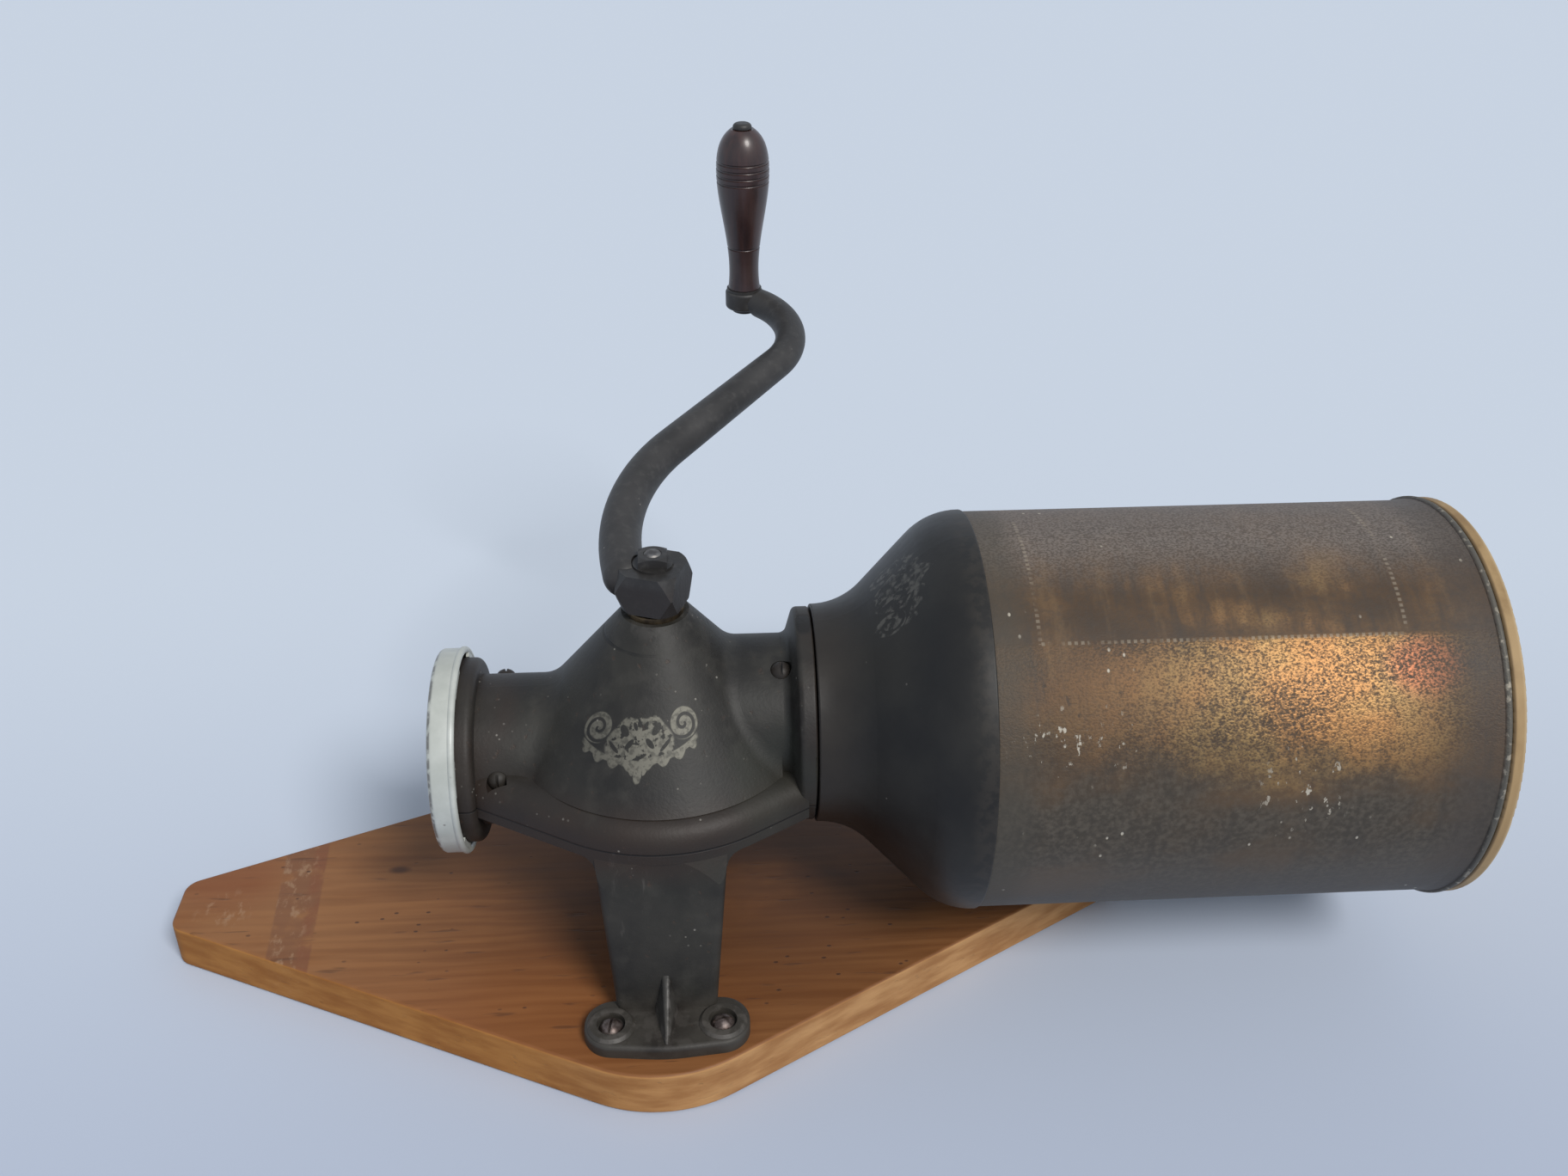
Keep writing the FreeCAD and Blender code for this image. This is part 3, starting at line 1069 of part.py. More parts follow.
def make_handle():
    """A turned grip: a slim neck that swells to a belly, with fine grooves cut round it."""
    x, y = HANDLE_PLACE

    def at(radius, height):
        return Vector(x + radius, y, HANDLE_BOTTOM + height)

    waist = (HANDLE_NECK_PLACE + HANDLE_BELLY_PLACE) / 2
    side = Part.BSplineCurve()
    side.interpolate([
        at(HANDLE_FOOT_RADIUS, 0), at(HANDLE_NECK_RADIUS, HANDLE_NECK_PLACE),
        at((HANDLE_NECK_RADIUS + HANDLE_BELLY_RADIUS) / 2, waist), at(HANDLE_BELLY_RADIUS, HANDLE_BELLY_PLACE),
        at((HANDLE_BELLY_RADIUS + HANDLE_TOP_RADIUS) / 2, (HANDLE_BELLY_PLACE + 4 * HANDLE_LENGTH) / 5),
        at(HANDLE_TOP_RADIUS, HANDLE_LENGTH)])
    bore = PIN_RADIUS + RUNNING_CLEARANCE
    corners = [
        at(HANDLE_TOP_RADIUS, HANDLE_LENGTH), at(bore, HANDLE_LENGTH), at(bore, 0), at(HANDLE_FOOT_RADIUS, 0)]
    edges = [side.toShape()]
    edges += [Part.LineSegment(a, b).toShape() for a, b in zip(corners, corners[1:])]
    handle = Part.Face(Part.Wire(edges)).revolve(at(0, 0), ALONG_Z, 360)
    for height in HANDLE_GROOVES:
        level = HANDLE_BOTTOM + height
        cut = handle.slice(ALONG_Z, level)
        radius = max(wire.BoundBox.XMax for wire in cut) - x
        handle = handle.cut(Part.makeTorus(radius, HANDLE_GROOVE_RADIUS, Vector(x, y, level), ALONG_Z))
    return handle


# Export of each piece

def export(name, shape):
    solids = shape if isinstance(shape, list) else shape.Solids
    whole = solids[0] if len(solids) == 1 else Part.Compound(solids)
    whole.exportStep("parts/" + name + ".step")


os.makedirs("parts", exist_ok=True)
outside = housing_outside()
export("backboard", make_board())
export("rear_housing", make_rear_housing(outside))
export("front_housing", make_front_housing(outside))
export("housing_screws", make_housing_screws())
export("foot_screws", make_foot_screws())
export("outlet_collar", make_collar())
export("collar_screws", make_neck_screws(0))
export("outlet_cap", make_cap())
export("cap_liner", make_liner())
export("hopper_funnel", make_funnel())
export("hopper_screws", make_neck_screws(1))
export("canister", make_canister())
export("canister_lid", make_lid())
export("lid_plug", make_plug())
export("spindle", make_spindle())
export("drive_pin", drive_pin())
export("grinding_ring", make_grinding_ring())
export("grinding_cone", make_grinding_cone())
export("feed_worm", make_feed_worm())
export("front_bush", make_front_bush())
export("rear_bush", make_rear_bush())
export("thrust_ball", make_thrust_ball())
export("thrust_screw", make_thrust_screw())
export("lock_nut", make_lock_nut())
export("crank_arm", make_crank())
export("crank_nut", make_crank_nut())
export("handle_pin", make_handle_pin())
export("handle_washer", make_handle_washer())
export("wood_handle", make_handle())
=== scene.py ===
import math

import bpy
from mathutils import Matrix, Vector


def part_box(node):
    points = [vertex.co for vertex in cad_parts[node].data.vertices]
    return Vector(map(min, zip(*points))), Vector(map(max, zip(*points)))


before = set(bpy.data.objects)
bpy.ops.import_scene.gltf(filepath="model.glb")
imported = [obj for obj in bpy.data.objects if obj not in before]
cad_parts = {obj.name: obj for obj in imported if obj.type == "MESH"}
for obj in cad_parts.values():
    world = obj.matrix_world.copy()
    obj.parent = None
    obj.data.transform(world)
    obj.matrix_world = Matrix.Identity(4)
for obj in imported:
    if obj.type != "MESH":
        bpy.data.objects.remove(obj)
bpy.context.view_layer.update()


# The board: a kite of softwood, sawn and planed flat with its grain along X, which the feet are screwed to.
# Its varnish is worn and specked. Painted shade darkens it under the mill, and the far half is darker from
# painted shade and older varnish.
# Tape has left a stain near one end, and the sawn sides are paler.

class Amount:
    """A value that changes over a surface. Arithmetic on it becomes Math nodes."""

    def __init__(self, owner, socket):
        self.owner = owner
        self.socket = socket

    def maths(self, operation, *terms):
        return self.owner.add("ShaderNodeMath", {"operation": operation}, dict(enumerate(terms)))

    def __add__(self, other):
        return self.maths("ADD", self, other)

    def __radd__(self, other):
        return self.maths("ADD", other, self)

    def __sub__(self, other):
        return self.maths("SUBTRACT", self, other)

    def __rsub__(self, other):
        return self.maths("SUBTRACT", other, self)

    def __mul__(self, other):
        return self.maths("MULTIPLY", self, other)

    def __rmul__(self, other):
        return self.maths("MULTIPLY", other, self)

    def __truediv__(self, other):
        return self.maths("DIVIDE", self, other)

    def __rtruediv__(self, other):
        return self.maths("DIVIDE", other, self)

    def __mod__(self, other):
        return self.maths("FLOORED_MODULO", self, other)

    def __rmod__(self, other):
        return self.maths("FLOORED_MODULO", other, self)

    def __abs__(self):
        return self.maths("ABSOLUTE", self)

    def sine(self):
        return self.maths("SINE", self)

    def angle_from(self, other):
        """The angle of a point that lies this far to one side and the other value ahead."""
        return self.maths("ARCTAN2", self, other)

    def length_with(self, other):
        """How far away a point lies that is this far across and the other value along."""
        return self.maths("POWER", self * self + other * other, 0.5)

    def most(self, other):
        return self.maths("MAXIMUM", self, other)

    def rise(self, low, high):
        """A soft step from 0 at low to 1 at high; it falls where low is the larger."""
        return self.owner.add("ShaderNodeMapRange", {"interpolation_type": "SMOOTHSTEP", "clamp": True},
                              {"Value": self, "From Min": low, "From Max": high})

    def line(self, middle, outer, inner):
        """1 less than inner away from a middle, 0 further than outer."""
        return abs(self - middle).rise(outer, inner)


class Nodes:
    """The nodes of one finish, or of the sky."""

    def __init__(self, tree):
        self.tree = tree

    def add(self, kind, settings=None, inputs=None, output=0):
        node = self.tree.nodes.new(kind)
        for name, value in (settings or {}).items():
            setattr(node, name, value)
        for key, value in (inputs or {}).items():
            if isinstance(value, Amount):
                self.tree.links.new(value.socket, node.inputs[key])
            else:
                node.inputs[key].default_value = value
        return Amount(self, node.outputs[output])


class Surface(Nodes):
    """A procedural finish around one Principled shader. Its colour is built up coat by coat."""

    def __init__(self, name, **fixed):
        self.material = bpy.data.materials.new(name)
        self.material.use_nodes = True
        super().__init__(self.material.node_tree)
        self.shader = self.tree.nodes["Principled BSDF"]
        for socket, value in fixed.items():
            self.shader.inputs[socket.replace("_", " ")].default_value = value
        self.place = self.add("ShaderNodeTexCoord", output="Object")
        self.x, self.y, self.z = self.parts(self.place)

    def parts(self, vector):
        split = self.add("ShaderNodeSeparateXYZ", inputs={0: vector}).socket.node
        return [Amount(self, socket) for socket in split.outputs]

    def laid_out(self, stretch=(1, 1, 1), shift=(0, 0, 0)):
        """Where a pattern is read: a stretch below 1 draws it out along that axis."""
        return self.add("ShaderNodeMapping", inputs={
            "Vector": self.place, "Location": shift, "Scale": stretch})

    def noise(self, scale, detail=3.0, stretch=(1, 1, 1), shift=(0, 0, 0), rough=0.55):
        return self.add("ShaderNodeTexNoise", inputs={
            "Vector": self.laid_out(stretch, shift), "Scale": scale, "Detail": detail, "Roughness": rough})

    def specks(self, scale, spot, cluster, gathered, detail=3.0, stretch=(1, 1, 1)):
        """Small round spots with a soft edge, gathered where a coarser noise is high."""
        away = self.add("ShaderNodeTexVoronoi", inputs={"Vector": self.laid_out(stretch), "Scale": scale})
        return away.rise(*spot) * self.noise(cluster, detail).rise(*gathered)

    def blend(self, share, first, second):
        """A colour between two others."""
        def full(colour):
            return colour if isinstance(colour, Amount) else (*colour, 1.0)
        return self.add("ShaderNodeMix", {"data_type": "RGBA"},
                        {0: share, 6: full(first), 7: full(second)}, 2)

    def ground(self, share, first, second):
        """The first coat, between two colours."""
        self.colour = self.blend(share, first, second)

    def lay(self, colour, share):
        """A further coat over what is there already."""
        self.colour = self.blend(share, self.colour, colour)

    def feed(self, **sockets):
        for name, value in sockets.items():
            self.tree.links.new(value.socket, self.shader.inputs[name.replace("_", " ")])

    def finish(self, roughness, **others):
        self.feed(Base_Color=self.colour, Roughness=roughness, **others)

    def dent(self, height, depth, strength):
        self.feed(Normal=self.add("ShaderNodeBump", inputs={
            "Height": height, "Distance": depth, "Strength": strength}))

    def near(self, x, y, half_width, half_length, soft):
        """1 inside an ellipse seen from above, 0 outside it."""
        return ellipse(self.x, self.y, (x, y), (half_width, half_length), 1 + soft, 1 - soft)


def ellipse(across, along, middle, half, outer, inner):
    """1 inside an ellipse on two measures of a surface, falling to 0 from inner to outer times its size."""
    first = (across - middle[0]) / half[0]
    second = (along - middle[1]) / half[1]
    return first.length_with(second).rise(outer, inner)


def dress(surface, *names):
    for name in names:
        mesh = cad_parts[name].data
        mesh.materials.clear()
        mesh.materials.append(surface.material)


TAPE_FROM_SPINDLE = 0.1395
TAPE_LEAN = 0.075
TAPE_END_Y = -0.0365
TAPE_HALF_WIDTH = 0.0074

varnish = Surface("worn_board_varnish", Coat_Roughness=0.4, Specular_IOR_Level=0.2)
streak = varnish.noise(95, 5, stretch=(0.09, 1.6, 1.6))
fibre = varnish.noise(520, 3, stretch=(0.04, 1, 1))
wave = varnish.add("ShaderNodeTexWave", {"bands_direction": "Y"}, {
    "Vector": varnish.laid_out(stretch=(0.16, 1, 1.3)),
    "Scale": 62.0, "Distortion": 7.0, "Detail": 3.0, "Detail Scale": 1.4})
grain = (streak * 0.62 + wave * 0.14 + fibre * 0.34).rise(0.3, 0.8)
varnish.ground(grain, (0.175, 0.068, 0.022), (0.285, 0.125, 0.045))
cloud = varnish.noise(13, 3, shift=(0.2, 0.1, 0)).rise(0.35, 0.7)
varnish.lay((0.215, 0.076, 0.024), cloud * 0.4)
# The far half is darker: painted shade from the mill and canister, and older, darker varnish.
far_shade_and_old_varnish = varnish.y.rise(-0.03, 0.05)
varnish.lay((0.155, 0.062, 0.026), far_shade_and_old_varnish * 0.4)
# Painted shade under the mill: a dark patch round the feet, broken by noise.
shade_under_mill = varnish.near(0.012, 0.012, 0.085, 0.062, soft=0.75)
shade_under_mill = shade_under_mill * varnish.noise(34, 4, stretch=(0.5, 1, 1)).rise(0.2, 0.6)
varnish.lay((0.075, 0.033, 0.017), shade_under_mill * 0.72)
worn_end = varnish.x.rise(-0.07, -0.15) * varnish.noise(60, 4, stretch=(0.3, 1, 1)).rise(0.25, 0.6)
varnish.lay((0.34, 0.175, 0.08), worn_end * 0.4)
end_stain = varnish.near(-0.168, 0.016, 0.02, 0.016, soft=0.7)
varnish.lay((0.20, 0.058, 0.022), end_stain * 0.5)
tape_across = varnish.x + TAPE_FROM_SPINDLE + varnish.y * TAPE_LEAN
tape = abs(tape_across).rise(TAPE_HALF_WIDTH + 0.001, TAPE_HALF_WIDTH)
tape = tape * varnish.y.rise(TAPE_END_Y - 0.002, TAPE_END_Y)
residue = tape * varnish.noise(95, 5).rise(0.28, 0.5)
varnish.lay((0.15, 0.066, 0.04), residue * 0.5)
tape_edge = tape * tape_across.rise(0.0015, 0.0045)
tape_edge = tape_edge * residue * varnish.noise(70, 4, shift=(0, 0.7, 0)).rise(0.35, 0.6)
varnish.lay((0.205, 0.066, 0.03), tape_edge * 0.45)
scuff = tape * tape_across.rise(0.006, 0.002)
scuff = scuff.most(varnish.near(-0.1664, -0.0009, 0.0095, 0.0085, soft=0.5))
scuff = scuff * varnish.noise(300, 5, stretch=(1, 0.5, 1), rough=0.65).rise(0.52, 0.66)
varnish.lay((0.38, 0.245, 0.15), scuff * 0.5)
red_patch = varnish.near(-0.045, -0.058, 0.055, 0.026, soft=0.8)
varnish.lay((0.265, 0.088, 0.026), red_patch * 0.4)
knot = varnish.near(-0.1042, 0.0173, 0.0042, 0.0021, soft=0.7)
knot = knot.most(varnish.near(-0.1065, 0.0195, 0.013, 0.007, soft=0.8) * 0.3)
varnish.lay((0.045, 0.02, 0.012), knot * 0.85)
speck = varnish.specks(190, (0.12, 0.07), 26, (0.42, 0.58), detail=2, stretch=(0.6, 1, 1))
pore = varnish.noise(330, 3, stretch=(0.12, 1, 1), shift=(3, 0, 0)).rise(0.62, 0.72)
flaw = speck.most(pore * 0.55)
varnish.lay((0.055, 0.024, 0.014), flaw * 0.8)
facing = varnish.parts(varnish.add("ShaderNodeNewGeometry", output="Normal"))
sawn = abs(facing[2]).rise(0.8, 0.4)
raw = varnish.noise(130, 5, stretch=(0.35, 0.35, 1.5)).rise(0.3, 0.7)
sawn_tan = varnish.blend(raw, (0.34, 0.165, 0.062), (0.53, 0.30, 0.13))
sawn_orange = varnish.blend(raw, (0.29, 0.112, 0.024), (0.43, 0.195, 0.05))
sawn_colour = varnish.blend(varnish.x.rise(-0.06, 0.03), sawn_orange, sawn_tan)
varnish.lay(sawn_colour, sawn * 0.85)
varnish.finish(0.4 + 0.22 * streak + 0.2 * sawn, Coat_Weight=0.15 - 0.15 * sawn)
varnish.dent(fibre * 0.6 + streak * 0.4 - flaw * 1.6 + residue * 0.5, depth=0.0002, strength=0.5)
dress(varnish, "backboard")


# The cast housing: a dome and a bowl of grey iron, each with half of both necks, screwed together at the rim.
# It is black japanned, rubbed brown on the rim and legs and pitted all over. A leaf scroll is painted on the
# dome, and the bowl stands on two cast legs.

PARTING_Z = 0.086
JAPAN_DEPTH = 0.00025
JAPAN_RELIEF = 0.6


def japan(name, rubbed):
    """Black japan on cast iron, with brown where rubbed is 1."""
    surface = Surface(name, Specular_IOR_Level=0.32)
    patch = surface.noise(26, 4)
    mottle = surface.noise(120, 5)
    surface.ground(patch.rise(0.35, 0.7), (0.0120, 0.0109, 0.0098), (0.0285, 0.027, 0.0228))
    surface.lay((0.054, 0.051, 0.044), mottle.rise(0.45, 0.75) * 0.4)
    brown = rubbed(surface) * (0.45 + 0.55 * surface.noise(45, 4).rise(0.35, 0.65))
    surface.lay((0.028, 0.019, 0.0147), brown)
    rust = surface.noise(300, 4).rise(0.62, 0.74) * patch.rise(0.4, 0.6)
    surface.lay((0.055, 0.034, 0.024), rust * 0.6)
    green = surface.noise(20, 3, shift=(0.4, 0.2, 0)).rise(0.45, 0.65) * surface.x.rise(-0.02, 0.03)
    surface.lay((0.034, 0.038, 0.030), green * 0.4)
    parting = surface.z.line(PARTING_Z, 0.0005, 0.0002)
    surface.lay((0.006, 0.005, 0.0045), parting * 0.85)
    chip = surface.specks(330, (0.17, 0.09), 60, (0.55, 0.66))
    surface.lay((0.25, 0.235, 0.21), chip * 0.75)
    pits = surface.noise(900, 3)
    surface.rough = 0.34 + 0.26 * patch + 0.12 * mottle
    surface.height = pits * 0.5 + mottle * 0.9 - rust * 0.5 - chip * 0.8 - parting * 1.5
    return surface


def scroll(surface, across, up):
    """A mirrored leaf scroll: across runs from -1 to 1, and up from -1 at its tip to 1 at its crest."""
    side = abs(across)

    def oval(centre_across, centre_up, half_width, half_length, lean=0.0):
        lifted = (up - centre_up) / half_length
        shifted = (side - centre_across - (up - centre_up) * lean) / half_width
        return shifted.length_with(lifted).rise(1.12, 0.88)

    curl_across = (side - 0.74) * 1.75
    curl_up = up - 0.36
    reach = curl_across.length_with(curl_up)
    turn = curl_up.angle_from(curl_across) / (2 * math.pi)
    coil = ((reach / 0.28 + turn + 0.9) % 1.0).line(0.5, 0.38, 0.27)
    mark = coil * reach.rise(0.47, 0.43)
    stem_up = side * 0.22 + side * side * side * 0.34 - 0.56
    stem = up.line(stem_up, 0.1, 0.06) * side.rise(0.95, 0.88)
    below_stem = stem_up - up
    hang = abs((side * 13.0).sine()) * 0.26
    leaflets = below_stem.rise(-0.02, 0.03) * (hang - below_stem).rise(0.0, 0.05) * side.rise(0.9, 0.84)
    mark = mark.most(stem).most(leaflets)
    lobes = (side * 15.0 + 0.6).sine() * 0.09
    crown = (side / 0.54).length_with((up - 0.02) / 0.74 + lobes).rise(1.04, 0.95)
    holes = oval(0.27, 0.36, 0.07, 0.17, 0.25).most(oval(0.16, -0.02, 0.05, 0.15, -0.3))
    holes = holes.most(oval(0.4, -0.12, 0.04, 0.16, 0.5)).most(oval(0.09, 0.48, 0.035, 0.12, 0.2))
    leaf_gaps = surface.noise(480, 2, shift=(0.31, 0, 0)).rise(0.38, 0.47)
    mark = mark.most(crown * (1 - holes) * leaf_gaps)
    mark = mark.most(oval(0.0, -0.84, 0.055, 0.28)).most(oval(0.1, -0.72, 0.03, 0.17, 0.15))
    return mark * side.rise(1.2, 1.1) * abs(up).rise(1.2, 1.1)


def rim_and_necks(surface):
    rim = surface.z.rise(0.104, 0.092) * surface.z.rise(0.06, 0.078)
    return rim.most(0.75 * abs(surface.x).rise(0.044, 0.054))


SCROLL_TURN = math.radians(9.4)
SCROLL_HALF_ANGLE = math.radians(34)
SCROLL_MIDDLE_Z = 0.1152
SCROLL_HALF_HEIGHT = 0.0092
SCROLL_LEAN = 0.2
BOSS_LINE_Z = 0.1375

dome = japan("dome_japan", rim_and_necks)
turned_x = dome.x * math.cos(SCROLL_TURN) - dome.y * math.sin(SCROLL_TURN)
turned_y = dome.x * math.sin(SCROLL_TURN) + dome.y * math.cos(SCROLL_TURN)
around = turned_x.angle_from(-1 * turned_y) / SCROLL_HALF_ANGLE
upward = (dome.z - SCROLL_MIDDLE_Z) / SCROLL_HALF_HEIGHT - SCROLL_LEAN * around
paint_left = 0.45 + 0.55 * dome.noise(620, 4).rise(0.36, 0.56)
# The scroll is painted stronger towards its right side.
scroll_brighter_to_right = 0.45 + 0.55 * around.rise(-0.7, 0.8)
painted = scroll(dome, around, upward) * paint_left * scroll_brighter_to_right
dome.lay((0.235, 0.225, 0.185), painted * 0.92)
# The dome is painted lighter near its top, round the foot of the boss, broken by noise.
lighter_dome_top = dome.z.rise(0.138, 0.146) * dome.noise(160, 3).rise(0.4, 0.6)
dome.lay((0.075, 0.07, 0.064), lighter_dome_top * 0.5)
# Painted shade: a dark broken line in the crease round the foot of the spindle boss, also pressed in as a
# shallow groove.
boss_crease_shade = dome.z.line(BOSS_LINE_Z, 0.0006, 0.0002) * dome.noise(55, 2).rise(0.42, 0.55)
dome.lay((0.007, 0.0065, 0.006), boss_crease_shade * 0.7)
dome.finish(dome.rough + 0.1 * painted)
dome.dent(dome.height + painted * 0.4 - boss_crease_shade * 1.2, JAPAN_DEPTH, JAPAN_RELIEF)
dress(dome, "front_housing")


def rim_and_feet(surface):
    return surface.z.rise(0.07, 0.082).most(0.35 * surface.z.rise(0.03, 0.022))


RIB_RIDGE_X = 0.0008
SCRATCH_X = -0.0105

bowl = japan("bowl_japan", rim_and_feet)
outward = abs(bowl.y)
leg_dust = bowl.z.rise(0.036, 0.024).most(bowl.z.rise(0.074, 0.06) * 0.3)
leg_dust = leg_dust * bowl.noise(70, 4, shift=(0, 0.3, 0)).rise(0.25, 0.65)
bowl.lay((0.056, 0.051, 0.044), leg_dust * 0.75)
# A pale broken line along the rib's ridge: worn edge, and painted highlight where the light catches the
# ridge. It is also made shinier.
rib_edge_wear_and_highlight = bowl.x.line(RIB_RIDGE_X, 0.0009, 0.0004) * bowl.z.rise(0.0236, 0.0246)
rib_edge_wear_and_highlight = rib_edge_wear_and_highlight * outward.rise(0.0628, 0.0636) * bowl.noise(240, 3).rise(0.35, 0.6)
bowl.lay((0.17, 0.16, 0.15), rib_edge_wear_and_highlight * 0.6)
# Painted light: the rib's right facet is painted lighter, as the side that the light falls on.
rib_lit_side = bowl.x.rise(-0.0004, 0.001) * bowl.x.rise(0.0056, 0.0035) * bowl.z.rise(0.0246, 0.0262)
rib_lit_side = rib_lit_side * outward.rise(0.062, 0.064) * bowl.noise(130, 4).rise(0.3, 0.6)
bowl.lay((0.085, 0.079, 0.07), rib_lit_side * 0.4)
scratch = bowl.noise(420, 3, stretch=(1, 1, 0.1)).rise(0.58, 0.68) * bowl.z.rise(0.045, 0.06)
scratch = scratch * bowl.x.line(SCRATCH_X, 0.007, 0.002) * bowl.noise(120, 2).rise(0.4, 0.6)
bowl.lay((0.12, 0.11, 0.10), scratch * 0.6)
foot_wear = bowl.z.rise(0.0225, 0.0236) * bowl.z.rise(0.026, 0.0245)
foot_wear = foot_wear * outward.rise(0.064, 0.066) * bowl.noise(200, 3).rise(0.45, 0.6)
bowl.lay((0.11, 0.1, 0.092), foot_wear * 0.5)
bowl.finish(bowl.rough - 0.12 * rib_edge_wear_and_highlight)
bowl.dent(bowl.height, JAPAN_DEPTH, JAPAN_RELIEF)
dress(bowl, "rear_housing")


# The outlet collar: a turned iron ring on a spigot that three small screws hold in the outlet neck.
# Its bead shows beside the jar cap, brown and pitted; its screws and the hopper's were japanned over.

def all_over(surface):
    return surface.z.rise(-1.0, -0.5) * 0.6


collar = japan("collar_japan", all_over)
collar.finish(collar.rough)
collar.dent(collar.height, JAPAN_DEPTH, JAPAN_RELIEF)
dress(collar, "outlet_collar", "collar_screws", "hopper_screws")


# The screws: round headed and slotted, of plain steel gone brown.
# They hold the feet to the board and, from under the rim, the bowl to the dome.

def bare_metal(name, metallic, tone, spread, dark, light):
    """Uncoated metal, spotted between a dark and a light tone. It comes with its tone."""
    surface = Surface(name, Metallic=metallic)
    spots = surface.noise(*tone)
    surface.ground(spots.rise(*spread), dark, light)
    return surface, spots


screw_steel, tarnish = bare_metal("tarnished_screw_steel", 0.75, (500, 4), (0.35, 0.65),
                                  (0.075, 0.054, 0.047), (0.185, 0.15, 0.138))
screw_steel.finish(0.3 + 0.35 * tarnish)
screw_steel.dent(screw_steel.noise(1500, 2), depth=0.0001, strength=0.4)
dress(screw_steel, "foot_screws", "housing_screws")


# The jar cap: a pressed cap of enamelled tinplate with a rolled edge, held on the collar by its lugs.
# Its enamel is pale with a green cast, worn to the dark metal along the corner; a soft ring inside seals it.

CAP_AXIS_Z = 0.0885
CAP_FACE_X = -0.0771

enamel = Surface("pale_cap_enamel", Coat_Roughness=0.2, Coat_Weight=0.3)
stain = enamel.noise(90, 4)
enamel.ground(stain.rise(0.3, 0.75), (0.43, 0.455, 0.425), (0.55, 0.575, 0.545))
low_side = enamel.z.rise(0.078, 0.052)
enamel.lay((0.36, 0.42, 0.385), low_side * 0.35)
from_axis = enamel.y.length_with(enamel.z - CAP_AXIS_Z)
corner = from_axis.rise(0.0345, 0.0354) * enamel.x.rise(CAP_FACE_X + 0.0016, CAP_FACE_X + 0.0009)
corner = corner * enamel.noise(260, 4).rise(0.36, 0.52)
enamel.lay((0.09, 0.085, 0.08), corner * 0.8)
fleck = enamel.specks(260, (0.13, 0.08), 80, (0.5, 0.62))
enamel.lay((0.16, 0.15, 0.14), fleck * 0.7)
enamel.finish(0.3 + 0.25 * stain)
enamel.dent(stain * 0.6 - fleck - corner, depth=0.00015, strength=0.5)
dress(enamel, "outlet_cap")

seal = Surface("soft_cap_seal")
seal.ground(seal.noise(200, 3), (0.55, 0.5, 0.42), (0.7, 0.66, 0.58))
seal.finish(0.55 + 0.2 * seal.noise(400, 2))
dress(seal, "cap_liner")


# The hopper funnel: spun from sheet, with a spout that three small screws hold in the hopper neck.
# The canister laps over its wide end. It is japanned a deep brown black, with a faint scroll painted on top.

HOPPER_AXIS_Z = 0.1
FAINT_SCROLL_X = 0.0815
FAINT_SCROLL_HALF_LENGTH = 0.0105
FAINT_SCROLL_TURN = 0.12
FAINT_SCROLL_HALF_ANGLE = 0.33

funnel = Surface("funnel_japan", Specular_IOR_Level=0.32)
haze = funnel.noise(30, 4)
fine = funnel.noise(260, 5)
funnel.ground(haze.rise(0.3, 0.7), (0.0105, 0.0098, 0.0092), (0.022, 0.0205, 0.018))
neck_brown = funnel.x.rise(0.075, 0.056) * (0.4 + 0.6 * haze)
funnel.lay((0.032, 0.0245, 0.0185), neck_brown * 0.6)
shoulder = funnel.x.rise(0.098, 0.104) * fine.rise(0.4, 0.6)
funnel.lay((0.06, 0.05, 0.04), shoulder * 0.25)
from_top = funnel.y.angle_from(funnel.z - HOPPER_AXIS_Z)
faint = scroll(funnel, (from_top + FAINT_SCROLL_TURN) / FAINT_SCROLL_HALF_ANGLE,
               (FAINT_SCROLL_X - funnel.x) / FAINT_SCROLL_HALF_LENGTH)
faint = faint * funnel.noise(380, 4).rise(0.42, 0.62)
funnel.lay((0.16, 0.155, 0.14), faint * 0.45)
flake = funnel.specks(300, (0.14, 0.08), 70, (0.62, 0.72))
funnel.lay((0.28, 0.26, 0.23), flake * 0.7)
funnel.finish(0.3 + 0.22 * haze + 0.1 * fine)
funnel.dent(haze * 1.6 + fine * 0.5 - flake, depth=0.0003, strength=0.5)
dress(funnel, "hopper_funnel")


# The canister: a tube rolled from tinplate with a lapped seam, pushed over the funnel, with a bead at its
# mouth. Its bronze and black japan is rubbed to the metal along the side, under a painted border of dots.

CANISTER_START_X = 0.1075
CANISTER_END_X = 0.2698
BORDER_FROM_X = 0.122
BORDER_TO_X = 0.2400
BORDER_LOW = math.radians(52)
BORDER_HIGH = math.radians(128)
DOT_PITCH = 0.0021
DOT_EDGE = (DOT_PITCH * 0.34, DOT_PITCH * 0.2)

bronze = Surface("rubbed_bronze_japan", Specular_IOR_Level=0.3)
blotch = bronze.noise(38, 5, stretch=(0.7, 1, 1))
grit = bronze.noise(520, 4)
glitter = bronze.noise(1500, 2, stretch=(0.75, 1, 1))
brushed = bronze.noise(85, 4, stretch=(2.2, 0.35, 0.35), shift=(0.5, 0, 0))
bronze.ground(blotch.rise(0.3, 0.7), (0.058, 0.038, 0.024), (0.125, 0.072, 0.036))
bronze.lay((0.155, 0.098, 0.052), brushed.rise(0.5, 0.72) * 0.5)
bronze.lay((0.05, 0.04, 0.032), brushed.rise(0.46, 0.3) * 0.55)
bronze.lay((0.06, 0.046, 0.036), grit.rise(0.42, 0.7) * 0.5)

